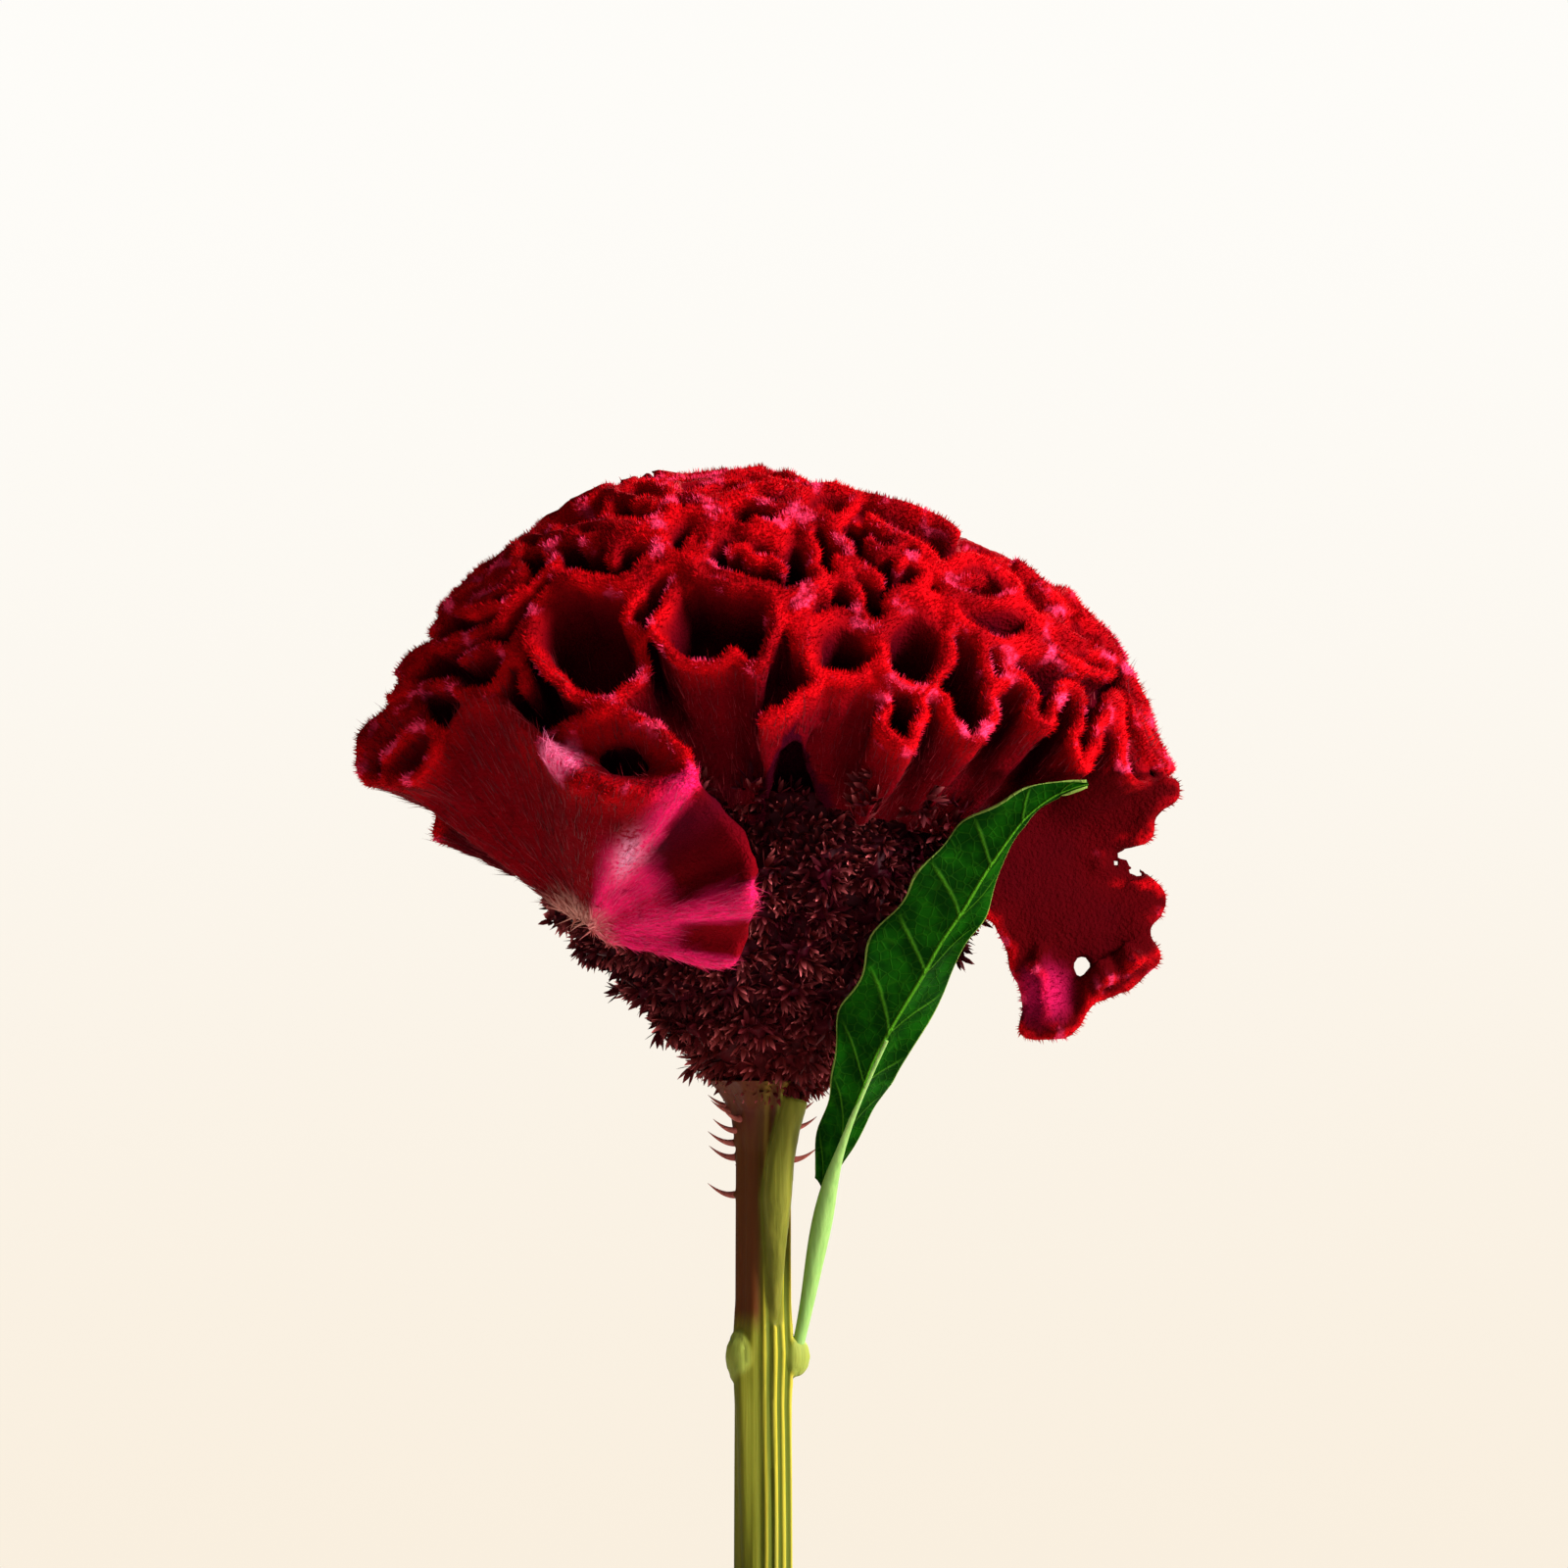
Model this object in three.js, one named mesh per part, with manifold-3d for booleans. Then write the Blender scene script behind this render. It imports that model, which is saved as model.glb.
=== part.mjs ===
// A crested celosia, or cockscomb, growing in a plain terracotta pot.
// Millimetres, +Z up, with the front of the plant towards -Y. The origin is the middle of the
// pot's underside.
import * as THREE from 'three';
import { mergeVertices } from 'three/addons/utils/BufferGeometryUtils.js';
import { ConvexGeometry } from 'three/addons/geometries/ConvexGeometry.js';
import Module from 'manifold-3d';

const wasm = await Module();
wasm.setup();

// Driving sizes
const POT_HEIGHT = 115;
const POT_RIM_RADIUS = 65;
const POT_FOOT_RADIUS = 43;
const POT_WALL = 5;
const POT_BAND = 22;
const SOIL_BELOW_RIM = 12;
const STEM_TOP = 225;
const STEM_ROOT = 72;
const HEAD_FOOT = 222.8;
const GAP = 0.3;
const SHORTEST_EDGE = 0.05;

// The comb fills half of an ellipsoid: half width, half depth, and height over its middle.
// It leans: its back stands higher or lower than the ellipsoid, by so much at each place across.
const DOME = { a: 61, b: 40, c: 57, z: 262 };
const DOME_LEAN = [[-56, 3.5], [-28, 4.2], [-10, 0.4], [20, -3.6], [38, -2.4], [56, 4.5]];

// Places seen from the front are given in view units: right from the left edge and down from
// the top edge of a square view, 1600 units wide, whose foot lies 150 mm above the ground.
const VIEW_UNIT = 0.15;
const VIEW_MIDDLE = 787.5;
const VIEW_SIDE = 1600;
const VIEW_FOOT_HEIGHT = 150;

const viewX = (right) => (right - VIEW_MIDDLE) * VIEW_UNIT;
const viewZ = (down) => VIEW_FOOT_HEIGHT + (VIEW_SIDE - down) * VIEW_UNIT;

// Seeded random numbers, the same in every run
function seeded(seed) {
  let state = seed;
  return () => {
    state = (state * 1664525 + 1013904223) % 4294967296;
    return state / 4294967296;
  };
}

// Mends a three.js geometry into a closed solid and back
function toSolid(geometry) {
  const bare = new THREE.BufferGeometry();
  bare.setAttribute('position', geometry.getAttribute('position').clone());
  if (geometry.index) bare.setIndex(geometry.index.clone());
  const merged = mergeVertices(bare, 1e-4);
  const corners = merged.index.array;
  const triVerts = [];
  for (let i = 0; i < corners.length; i += 3) {
    const [a, b, c] = [corners[i], corners[i + 1], corners[i + 2]];
    if (a !== b && b !== c && c !== a) triVerts.push(a, b, c);
  }
  return new wasm.Manifold(new wasm.Mesh({
    numProp: 3,
    vertProperties: Float32Array.from(merged.getAttribute('position').array),
    triVerts: Uint32Array.from(triVerts),
  }));
}

function toGeometry(solid) {
  const mesh = solid.simplify(SHORTEST_EDGE).getMesh();
  const geometry = new THREE.BufferGeometry();
  geometry.setAttribute('position', new THREE.BufferAttribute(mesh.vertProperties, 3));
  geometry.setIndex(new THREE.BufferAttribute(mesh.triVerts, 1));
  geometry.computeVertexNormals();
  return geometry;
}

const join = (solids) => wasm.Manifold.union(solids);
const hull = (points) => toSolid(new ConvexGeometry(points));

function biggest(solid) {
  return solid.decompose().sort((p, q) => q.volume() - p.volume())[0];
}

// A closed solid through rings of equal point count, capped at both ends
function loft(rings) {
  const sides = rings[0].length;
  const points = rings.flat();
  const faces = [];
  for (let row = 0; row + 1 < rings.length; row += 1) {
    for (let k = 0; k < sides; k += 1) {
      const next = (k + 1) % sides;
      const [a, b] = [row * sides + k, row * sides + next];
      faces.push([a, b, b + sides], [a, b + sides, a + sides]);
    }
  }
  for (const [row, turn] of [[0, 1], [rings.length - 1, -1]]) {
    const middle = points.length;
    const sum = rings[row].reduce((total, point) => total.add(point), new THREE.Vector3());
    points.push(sum.divideScalar(sides));
    for (let k = 0; k < sides; k += 1) {
      const pair = [row * sides + k, row * sides + ((k + 1) % sides)];
      faces.push(turn > 0 ? [middle, pair[1], pair[0]] : [middle, pair[0], pair[1]]);
    }
  }
  return facesToSolid(points, faces);
}

function facesToSolid(points, faces) {
  const geometry = new THREE.BufferGeometry();
  geometry.setAttribute('position', new THREE.Float32BufferAttribute(
    points.flatMap((point) => point.toArray()), 3));
  geometry.setIndex(faces.flat());
  const solid = toSolid(geometry);
  if (solid.volume() > 0) return solid;
  geometry.setIndex(faces.flatMap((face) => [face[0], face[2], face[1]]));
  return toSolid(geometry);
}

// A thin curved sheet from rows of mid-surface points, its two faces split alike
function sheet(rows, halfThickness) {
  const across = rows[0].length;
  const middle = rows.flat();
  const normals = middle.map((_, index) => {
    const [row, k] = [Math.floor(index / across), index % across];
    const back = rows[Math.max(row - 1, 0)][k];
    const ahead = rows[Math.min(row + 1, rows.length - 1)][k];
    const left = rows[row][Math.max(k - 1, 0)];
    const right = rows[row][Math.min(k + 1, across - 1)];
    const along = ahead.clone().sub(back);
    return along.cross(right.clone().sub(left)).normalize().multiplyScalar(halfThickness);
  });
  const points = [
    ...middle.map((point, index) => point.clone().add(normals[index])),
    ...middle.map((point, index) => point.clone().sub(normals[index])),
  ];
  const under = middle.length;
  const faces = [];
  for (let row = 0; row + 1 < rows.length; row += 1) {
    for (let k = 0; k + 1 < across; k += 1) {
      const a = row * across + k;
      const [b, c, d] = [a + 1, a + across, a + across + 1];
      faces.push([a, b, d], [a, d, c]);
      faces.push([under + a, under + d, under + b], [under + a, under + c, under + d]);
    }
  }
  const rim = [];
  for (let k = 0; k < across; k += 1) rim.push(k);
  for (let row = 1; row < rows.length; row += 1) rim.push(row * across + across - 1);
  for (let k = across - 2; k >= 0; k -= 1) rim.push((rows.length - 1) * across + k);
  for (let row = rows.length - 2; row > 0; row -= 1) rim.push(row * across);
  rim.forEach((a, index) => {
    const b = rim[(index + 1) % rim.length];
    faces.push([a, under + b, b], [a, under + a, under + b]);
  });
  return facesToSolid(points, faces);
}

// A round or ribbed rod along a curve
function rod(points, radii, sides, steps) {
  const curve = new THREE.CatmullRomCurve3(points);
  const rings = [];
  for (let i = 0; i <= steps; i += 1) {
    const t = i / steps;
    const middle = curve.getPoint(t);
    const along = curve.getTangent(t);
    const side = new THREE.Vector3(1, 0.2, 0.1).cross(along).normalize();
    const other = along.clone().cross(side);
    const place = t * (radii.length - 1);
    const low = Math.min(Math.floor(place), radii.length - 2);
    const radius = THREE.MathUtils.lerp(radii[low], radii[low + 1], place - low);
    const ring = [];
    for (let k = 0; k < sides; k += 1) {
      const turn = (2 * Math.PI * k) / sides;
      ring.push(middle.clone()
        .addScaledVector(side, radius * Math.cos(turn))
        .addScaledVector(other, radius * Math.sin(turn)));
    }
    rings.push(ring);
  }
  return loft(rings);
}

// Reads a value off a short list of [place, value] pairs, straight between them
function along(list, place) {
  if (place <= list[0][0]) return list[0][1];
  for (let i = 1; i < list.length; i += 1) {
    if (place <= list[i][0]) {
      const share = (place - list[i - 1][0]) / (list[i][0] - list[i - 1][0]);
      return THREE.MathUtils.lerp(list[i - 1][1], list[i][1], share);
    }
  }
  return list[list.length - 1][1];
}

// Pot: thrown and turned terracotta with a rim band and three drainage holes
const POT_SIDES = 28;
const POT_FLOOR = 6;
const POT_EASE = 1.2;
const BAND_STEP = 5;
const DRAIN_RADIUS = 4;
const DRAIN_RING = 22;

function lathe(profile) {
  const points = profile.map(([radius, height]) => new THREE.Vector2(radius, height));
  return toSolid(new THREE.LatheGeometry(points, POT_SIDES).rotateX(Math.PI / 2));
}

const POT_INSIDE_TOP = POT_RIM_RADIUS - POT_WALL;
const POT_INSIDE_FOOT = POT_FOOT_RADIUS - POT_WALL;
const soilTop = POT_HEIGHT - SOIL_BELOW_RIM;
const potInside = (height) => THREE.MathUtils.lerp(
  POT_INSIDE_FOOT, POT_INSIDE_TOP, (height - POT_FLOOR) / (POT_HEIGHT - POT_FLOOR));

function makePot() {
  const bandFoot = POT_HEIGHT - POT_BAND;
  const body = lathe([
    [0, 0],
    [POT_FOOT_RADIUS - POT_EASE, 0],
    [POT_FOOT_RADIUS, POT_EASE],
    [POT_RIM_RADIUS - BAND_STEP, bandFoot],
    [POT_RIM_RADIUS - POT_EASE, bandFoot + POT_EASE],
    [POT_RIM_RADIUS, bandFoot + 2 * POT_EASE],
    [POT_RIM_RADIUS, POT_HEIGHT - POT_EASE],
    [POT_RIM_RADIUS - POT_EASE, POT_HEIGHT],
    [POT_INSIDE_TOP + POT_EASE, POT_HEIGHT],
    [potInside(POT_HEIGHT - POT_EASE), POT_HEIGHT - POT_EASE],
    [POT_INSIDE_FOOT, POT_FLOOR],
    [0, POT_FLOOR],
  ]);
  const drains = [0, 1, 2].map((index) => {
    const turn = Math.PI / 2 + (2 * Math.PI * index) / 3;
    const drain = new THREE.CylinderGeometry(DRAIN_RADIUS, DRAIN_RADIUS, 4 * POT_FLOOR, 12);
    drain.rotateX(Math.PI / 2);
    drain.translate(DRAIN_RING * Math.cos(turn), DRAIN_RING * Math.sin(turn), 0);
    return toSolid(drain);
  });
  return body.subtract(join(drains));
}

// Soil: fills the pot to a little under the rim, crumbly on top, with a plain hole for the stem
const SOIL_RELIEF = 1.1;
const SOIL_RINGS = [18, 40];

function makeSoil(stemHole) {
  const random = seeded(5);
  const radii = [...SOIL_RINGS, potInside(soilTop) - GAP];
  const rings = [];
  const ring = (radius, height, relief) => {
    const points = [];
    for (let k = 0; k < POT_SIDES; k += 1) {
      const turn = (2 * Math.PI * k) / POT_SIDES;
      const lift = relief * (random() - 0.5) * 2;
      points.push(new THREE.Vector3(
        radius * Math.sin(turn), -radius * Math.cos(turn), height + lift));
    }
    return points;
  };
  rings.push(ring(POT_INSIDE_FOOT - GAP, POT_FLOOR + GAP, 0));
  rings.push(ring(potInside(soilTop) - GAP, soilTop, 0));
  for (const radius of radii.slice(0, -1).reverse()) {
    rings.push(ring(radius, soilTop + 1.5 - 0.02 * radius, SOIL_RELIEF));
  }
  return loft(rings).subtract(stemHole);
}

// Stem: a straight ribbed stalk that flares under the head. It carries a cut leaf stalk in
// front, a knuckle on each side, and a few small curved bracts near the top.
const STEM_SIDES = 16;
const STEM_RIB = 0.055;
const STEM_AXIS_X = viewX(778);
const STEM_AXIS = [[STEM_ROOT, 0], [soilTop, -0.4], [150, STEM_AXIS_X], [STEM_TOP, STEM_AXIS_X]];
const STEM_WIDTHS = [
  [STEM_ROOT, 3.2], [soilTop, 4.9], [128, 4.7], [175, 4.5], [183, 4.9], [191, 4.4],
  [214, 4.3], [STEM_TOP - 5, 5.2], [STEM_TOP - 2, 7.2], [STEM_TOP, 8.8],
];

function stemBody(swell) {
  const heights = [
    STEM_ROOT - swell, soilTop, 128, 150, 175, 183, 191, 214, STEM_TOP - 5, STEM_TOP - 2,
    STEM_TOP + swell,
  ];
  return loft(heights.map((height) => {
    const radius = along(STEM_WIDTHS, height) + swell;
    const ring = [];
    for (let k = 0; k < STEM_SIDES; k += 1) {
      const turn = (2 * Math.PI * k) / STEM_SIDES;
      const reach = radius * (1 + (k % 2 ? STEM_RIB : -STEM_RIB));
      ring.push(new THREE.Vector3(
        along(STEM_AXIS, height) + reach * Math.cos(turn), reach * Math.sin(turn), height));
    }
    return ring;
  }));
}

function knuckle(x, y, z, radius, stretch) {
  const ball = new THREE.SphereGeometry(radius, 8, 6).rotateX(Math.PI / 2);
  return toSolid(ball.scale(1, 1, stretch).translate(x, y, z));
}

const RIGHT_KNUCKLE = { x: viewX(812), y: -0.5, z: viewZ(1384), radius: 1.9, stretch: 1.5 };
const LEFT_KNUCKLE = { x: viewX(757), y: -2.2, z: viewZ(1384), radius: 2.3, stretch: 1.5 };
const BRACT_LENGTH = 3.6;
const BRACT_PLACES = [
  [1133, 200], [1165, 185], [1180, 168], [1218, 182], [1150, 8], [1182, -8], [1140, 95],
  [1170, 60], [1200, 120],
];

function bract(down, bearing) {
  const turn = THREE.MathUtils.degToRad(bearing);
  const outward = new THREE.Vector3(Math.cos(turn), Math.sin(turn), 0);
  const sideways = new THREE.Vector3(-Math.sin(turn), Math.cos(turn), 0);
  const foot = new THREE.Vector3(STEM_AXIS_X, 0, viewZ(down)).addScaledVector(outward, 3.4);
  const up = new THREE.Vector3(0, 0, 1);
  const bend = foot.clone().addScaledVector(outward, 0.6 * BRACT_LENGTH).addScaledVector(up, -0.4);
  const tip = foot.clone().addScaledVector(outward, BRACT_LENGTH + 1).addScaledVector(up, 1.1);
  const ring = (middle, size) => [
    middle.clone().addScaledVector(sideways, size),
    middle.clone().addScaledVector(sideways, -size),
    middle.clone().addScaledVector(up, size),
  ];
  return join([
    hull([...ring(foot, 0.9), ...ring(bend, 0.5)]),
    hull([...ring(bend, 0.5), tip]),
  ]);
}

function makeStem(funnelCutter) {
  const front = (right, down, y) => new THREE.Vector3(viewX(right), y, viewZ(down));
  const cutStalk = rod([
    front(791, 1345, -3.6), front(792, 1290, -4.4), front(793, 1220, -5.2),
    front(800, 1165, -5.8), front(813, 1120, -6.4),
  ], [0.9, 1.5, 2.5, 2.2, 2.0], 8, 6);
  const leftRib = rod([
    front(760, 1392, -2.6), front(762, 1440, -2.9), front(764, 1530, -3), front(765, 1700, -2.6),
  ], [2.1, 1.8, 1.7, 1.0], 8, 5);
  const knots = [RIGHT_KNUCKLE, LEFT_KNUCKLE].map(
    ({ x, y, z, radius, stretch }) => knuckle(x, y, z, radius, stretch));
  const bracts = BRACT_PLACES.map(([down, bearing]) => bract(down, bearing));
  return biggest(
    join([stemBody(0), cutStalk, leftRib, ...knots, ...bracts]).subtract(funnelCutter));
}

// Leaves: a stalk and a waved blade each. The stalk ends a hair's breadth from the stem.
const LEAF_HALF_THICKNESS = 0.45;

// Stations of the upper leaf in view units: midrib, left edge and right edge, then the depth
// in millimetres of the midrib and of the two edges.
const UPPER_LEAF = [
  { rib: [840, 1212], left: [832, 1200], right: [848, 1204], depth: [-5.6, -5.2, -5.2] },
  { rib: [851, 1180], left: [833, 1162], right: [864, 1178], depth: [-8.6, -8.6, -6.6] },
  { rib: [866, 1143], left: [845, 1122], right: [884, 1140], depth: [-11.6, -12.4, -8.6] },
  { rib: [880, 1108], left: [848, 1088], right: [903, 1114], depth: [-14.6, -15.4, -11.2] },
  { rib: [892, 1078], left: [854, 1052], right: [917, 1090], depth: [-16.8, -17.4, -12.6] },
  { rib: [914, 1038], left: [864, 1015], right: [938, 1050], depth: [-19.4, -20.2, -15.6] },
  { rib: [938, 998], left: [880, 978], right: [964, 1012], depth: [-22.2, -23.2, -17.8] },
  { rib: [958, 962], left: [897, 946], right: [984, 957], depth: [-24.8, -25.6, -23.4] },
  { rib: [982, 926], left: [922, 910], right: [1007, 926], depth: [-27.2, -28, -24.8] },
  { rib: [1002, 892], left: [943, 877], right: [1016, 893], depth: [-29.4, -30.2, -26.8] },
  { rib: [1022, 862], left: [972, 849], right: [1030, 856], depth: [-31.4, -32, -29] },
  { rib: [1043, 834], left: [1004, 825], right: [1048, 832], depth: [-33, -33.6, -31.2] },
  { rib: [1068, 814], left: [1040, 804], right: [1070, 818], depth: [-34, -34.4, -33] },
  { rib: [1090, 804], left: [1078, 799], right: [1088, 808], depth: [-34.6, -34.8, -34.2] },
  { rib: [1106, 800], left: [1104, 797], right: [1105, 803], depth: [-34.8, -34.9, -34.7] },
];

function makeUpperLeaf(stemCutter) {
  const at = ([right, down], depth) => new THREE.Vector3(viewX(right), depth, viewZ(down));
  const rows = UPPER_LEAF.map(({ rib, left, right, depth }, index) => {
    const middle = at(rib, depth[0]);
    const [west, east] = [at(left, depth[1]), at(right, depth[2])];
    const wave = 0.7 * Math.sin(index * 1.9);
    const halfWest = west.clone().lerp(middle, 0.5).add(new THREE.Vector3(0, 0.8 - wave, 0));
    const halfEast = east.clone().lerp(middle, 0.5).add(new THREE.Vector3(0, 0.4 + wave, 0));
    return [west, halfWest, middle, halfEast, east];
  });
  const stalk = rod([
    at([812, 1378], -0.6), at([822, 1340], -1.8), at([830, 1290], -2.6),
    at([841, 1235], -4.2), at([853, 1178], -8.2), at([878, 1114], -13.8),
  ], [1.3, 1.4, 1.6, 1.9, 1.3, 0.8], 6, 8);
  return biggest(join([sheet(rows, LEAF_HALF_THICKNESS), stalk]).subtract(stemCutter));
}

const LOWER_LEAF_COUNT = 6;
const LOWER_LEAF_LENGTH = 42;
const LOWER_LEAF_HALF_WIDTH = 10.5;
const LOWER_STALK_LENGTH = 13;
const LOWER_LEAF_ROWS = 5;

function makeLowerLeaf(index, stemCutter) {
  const random = seeded(31 + 7 * index);
  const bearing = THREE.MathUtils.degToRad(25 + 60 * index + 8 * (random() - 0.5));
  const foot = 117 + 5 * (index % 3) + 2 * random();
  const size = 0.92 + 0.16 * random();
  const out = new THREE.Vector3(Math.cos(bearing), Math.sin(bearing), 0);
  const side = new THREE.Vector3(-Math.sin(bearing), Math.cos(bearing), 0);
  const axisX = along(STEM_AXIS, foot);
  const place = (reach, height) => new THREE.Vector3(axisX, 0, foot + height)
    .addScaledVector(out, reach);
  const blade = [];
  for (let row = 0; row <= LOWER_LEAF_ROWS; row += 1) {
    const t = row / LOWER_LEAF_ROWS;
    const reach = LOWER_STALK_LENGTH + LOWER_LEAF_LENGTH * size * t;
    const height = 9 + 6 * t - 16 * t * t;
    const half = 0.7 + LOWER_LEAF_HALF_WIDTH * size * Math.sin(Math.PI * t ** 0.75) ** 0.9;
    const middle = place(reach, height);
    blade.push([-1, -0.5, 0, 0.5, 1].map((across) => {
      const fold = 0.22 * half * Math.abs(across);
      const wave = 1.1 * across * Math.sin(6.5 * Math.PI * t + index) * Math.min(1, 4 * t);
      return middle.clone().addScaledVector(side, half * across)
        .add(new THREE.Vector3(0, 0, fold + wave));
    }));
  }
  const stalk = rod([
    place(2.5, 0), place(7, 5), place(LOWER_STALK_LENGTH, 9), place(LOWER_STALK_LENGTH + 10, 9.8),
  ], [1.5, 1.3, 1.1, 0.7], 4, 4);
  return biggest(join([sheet(blade, LEAF_HALF_THICKNESS), stalk]).subtract(stemCutter));
}

// Florets: small pointed flowers packed over a funnel between the stem and the comb
const FUNNEL_SIDES = 18;
const FUNNEL = [
  { z: HEAD_FOOT, a: 6, b: 6 },
  { z: 226, a: 8.5, b: 8.2 },
  { z: 231, a: 13, b: 11.5 },
  { z: 238, a: 19, b: 16 },
  { z: 245, a: 26.5, b: 19.5 },
  { z: 252, a: 33, b: 22.5 },
  { z: 259, a: 37, b: 25 },
  { z: 266, a: 38.5, b: 26.5 },
];
const FLORET_LENGTH = 5;
const FLORET_WIDTH = 3.5;
const FLORET_SPACING = 8.1;
const FLORET_FIRST_ROW = 5.2;
const FLORET_SIZES = [1, 0.72, 0.5];

function funnelSize(height) {
  const read = (key) => along(FUNNEL.map((ring) => [ring.z, ring[key]]), height);
  return { a: read('a'), b: read('b') };
}

function ellipseRing(a, b, z, sides) {
  const ring = [];
  for (let k = 0; k < sides; k += 1) {
    const turn = (2 * Math.PI * k) / sides;
    ring.push(new THREE.Vector3(a * Math.cos(turn), b * Math.sin(turn), z));
  }
  return ring;
}

function funnelBody(swell) {
  return loft(FUNNEL.map(({ z, a, b }, index) => {
    const lift = index === 0 ? -swell : (index === FUNNEL.length - 1 ? swell : 0);
    return ellipseRing(a + swell, b + swell, z + lift, FUNNEL_SIDES);
  }));
}

function floret(foot, outward, length, width, twist) {
  const side = new THREE.Vector3(0, 0, 1).cross(outward).normalize();
  const other = outward.clone().cross(side);
  const ring = (reach, size, turn) => [0, 1, 2].map((k) => {
    const angle = turn + (2 * Math.PI * k) / 3;
    return foot.clone().addScaledVector(outward, reach)
      .addScaledVector(side, size * Math.cos(angle))
      .addScaledVector(other, size * Math.sin(angle));
  });
  return hull([
    ...ring(-1.2, 0.7 * width, twist),
    ...ring(0.3 * length, width, twist + Math.PI / 3),
    foot.clone().addScaledVector(outward, length),
  ]);
}

function makeFlorets(neighbours) {
  const random = seeded(11);
  const florets = [];
  const top = FUNNEL[FUNNEL.length - 1].z - 2;
  let odd = 0;
  for (let z = HEAD_FOOT + FLORET_FIRST_ROW; z < top; z += 0.72 * FLORET_SPACING) {
    const { a, b } = funnelSize(z);
    const around = Math.PI * (a + b);
    const count = Math.max(8, Math.round(around / FLORET_SPACING));
    odd = 0.5 - odd;
    for (let k = 0; k < count; k += 1) {
      const turn = (2 * Math.PI * (k + odd + 0.3 * (random() - 0.5))) / count;
      const height = z + 0.8 * (random() - 0.5);
      const foot = new THREE.Vector3(
        0.97 * a * Math.cos(turn), 0.97 * b * Math.sin(turn), height);
      const outward = new THREE.Vector3(
        Math.cos(turn) / a, Math.sin(turn) / b, -0.35 / b + 0.5 * (random() - 0.5) / b)
        .normalize();
      const length = FLORET_LENGTH * (0.85 + 0.3 * random());
      const twist = 2 * Math.PI * random();
      const fits = FLORET_SIZES.find((size) => {
        const reach = length * size + 2 * GAP;
        const clear = floret(foot, outward, reach, FLORET_WIDTH * size + 2 * GAP, twist);
        return neighbours.every((near) => near.intersect(clear).isEmpty());
      });
      if (fits) florets.push(floret(foot, outward, length * fits, FLORET_WIDTH * fits, twist));
    }
  }
  return join([funnelBody(0), ...florets]);
}

// Crest: one sheet of velvet, folded over and over. Its rims stand out of a smaller fluted core
// as cups, rings and lips that all run down towards the head's foot.
const RIM_STEP = 4.8;
const RIM_THICKNESS = 3.1;
const RIM_DEPTH = 14;
const KEEL_BELOW = 16;
const JOINT_SHRINK = 0.5;
const JOINT_REACH = 0.08;
const RIM_FOCUS = new THREE.Vector3(0, 0, 232);

function onDome(right, down, lift = 0) {
  const [x, z] = [viewX(right), viewZ(down)];
  const rise = Math.max(0, z - DOME.z) / DOME.c;
  const spread = Math.min(0.985, (x / DOME.a) ** 2 + rise ** 2);
  return new THREE.Vector3(x, -DOME.b * Math.sqrt(1 - spread) - lift, z);
}

// A rim: a band that follows a line and reaches down towards its focus, on a keel if asked
function ruffle(points, { closed = false, depth = RIM_DEPTH, thickness = RIM_THICKNESS,
  focus = RIM_FOCUS, step = RIM_STEP, keel = false } = {}) {
  const curve = new THREE.CatmullRomCurve3(points, closed, 'centripetal');
  const count = Math.max(closed ? 6 : 2, Math.round(curve.getLength() / step));
  const sections = [];
  for (let i = 0; i < count + (closed ? 0 : 1); i += 1) {
    const middle = curve.getPointAt(i / count);
    const tangent = curve.getTangentAt(i / count);
    const down = focus.clone().sub(middle).normalize();
    const side = tangent.clone().cross(down).normalize();
    const at = (across, below) => middle.clone()
      .addScaledVector(side, across).addScaledVector(down, below);
    sections.push([
      at(0.46 * thickness, 0),
      at(-0.46 * thickness, 0),
      ...(keel ? [at(0, depth)] : [at(0.36 * thickness, depth), at(-0.36 * thickness, depth)]),
    ]);
  }
  // Each piece also reaches a little way into the next one, so that the two join as one body.
  const pieces = [];
  for (let i = 0; i + (closed ? 0 : 1) < sections.length; i += 1) {
    const [near, far] = [sections[i], sections[(i + 1) % sections.length]];
    const beyond = closed || i + 2 < sections.length ? sections[(i + 2) % sections.length] : [];
    const middle = far.reduce((sum, point) => sum.add(point), new THREE.Vector3())
      .divideScalar(far.length);
    const inner = beyond.map((point, k) => far[k].clone().lerp(middle, JOINT_SHRINK)
      .lerp(point.clone().lerp(middle, JOINT_SHRINK), JOINT_REACH));
    pieces.push(hull([...near, ...far, ...inner]));
  }
  return join(pieces);
}

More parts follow.
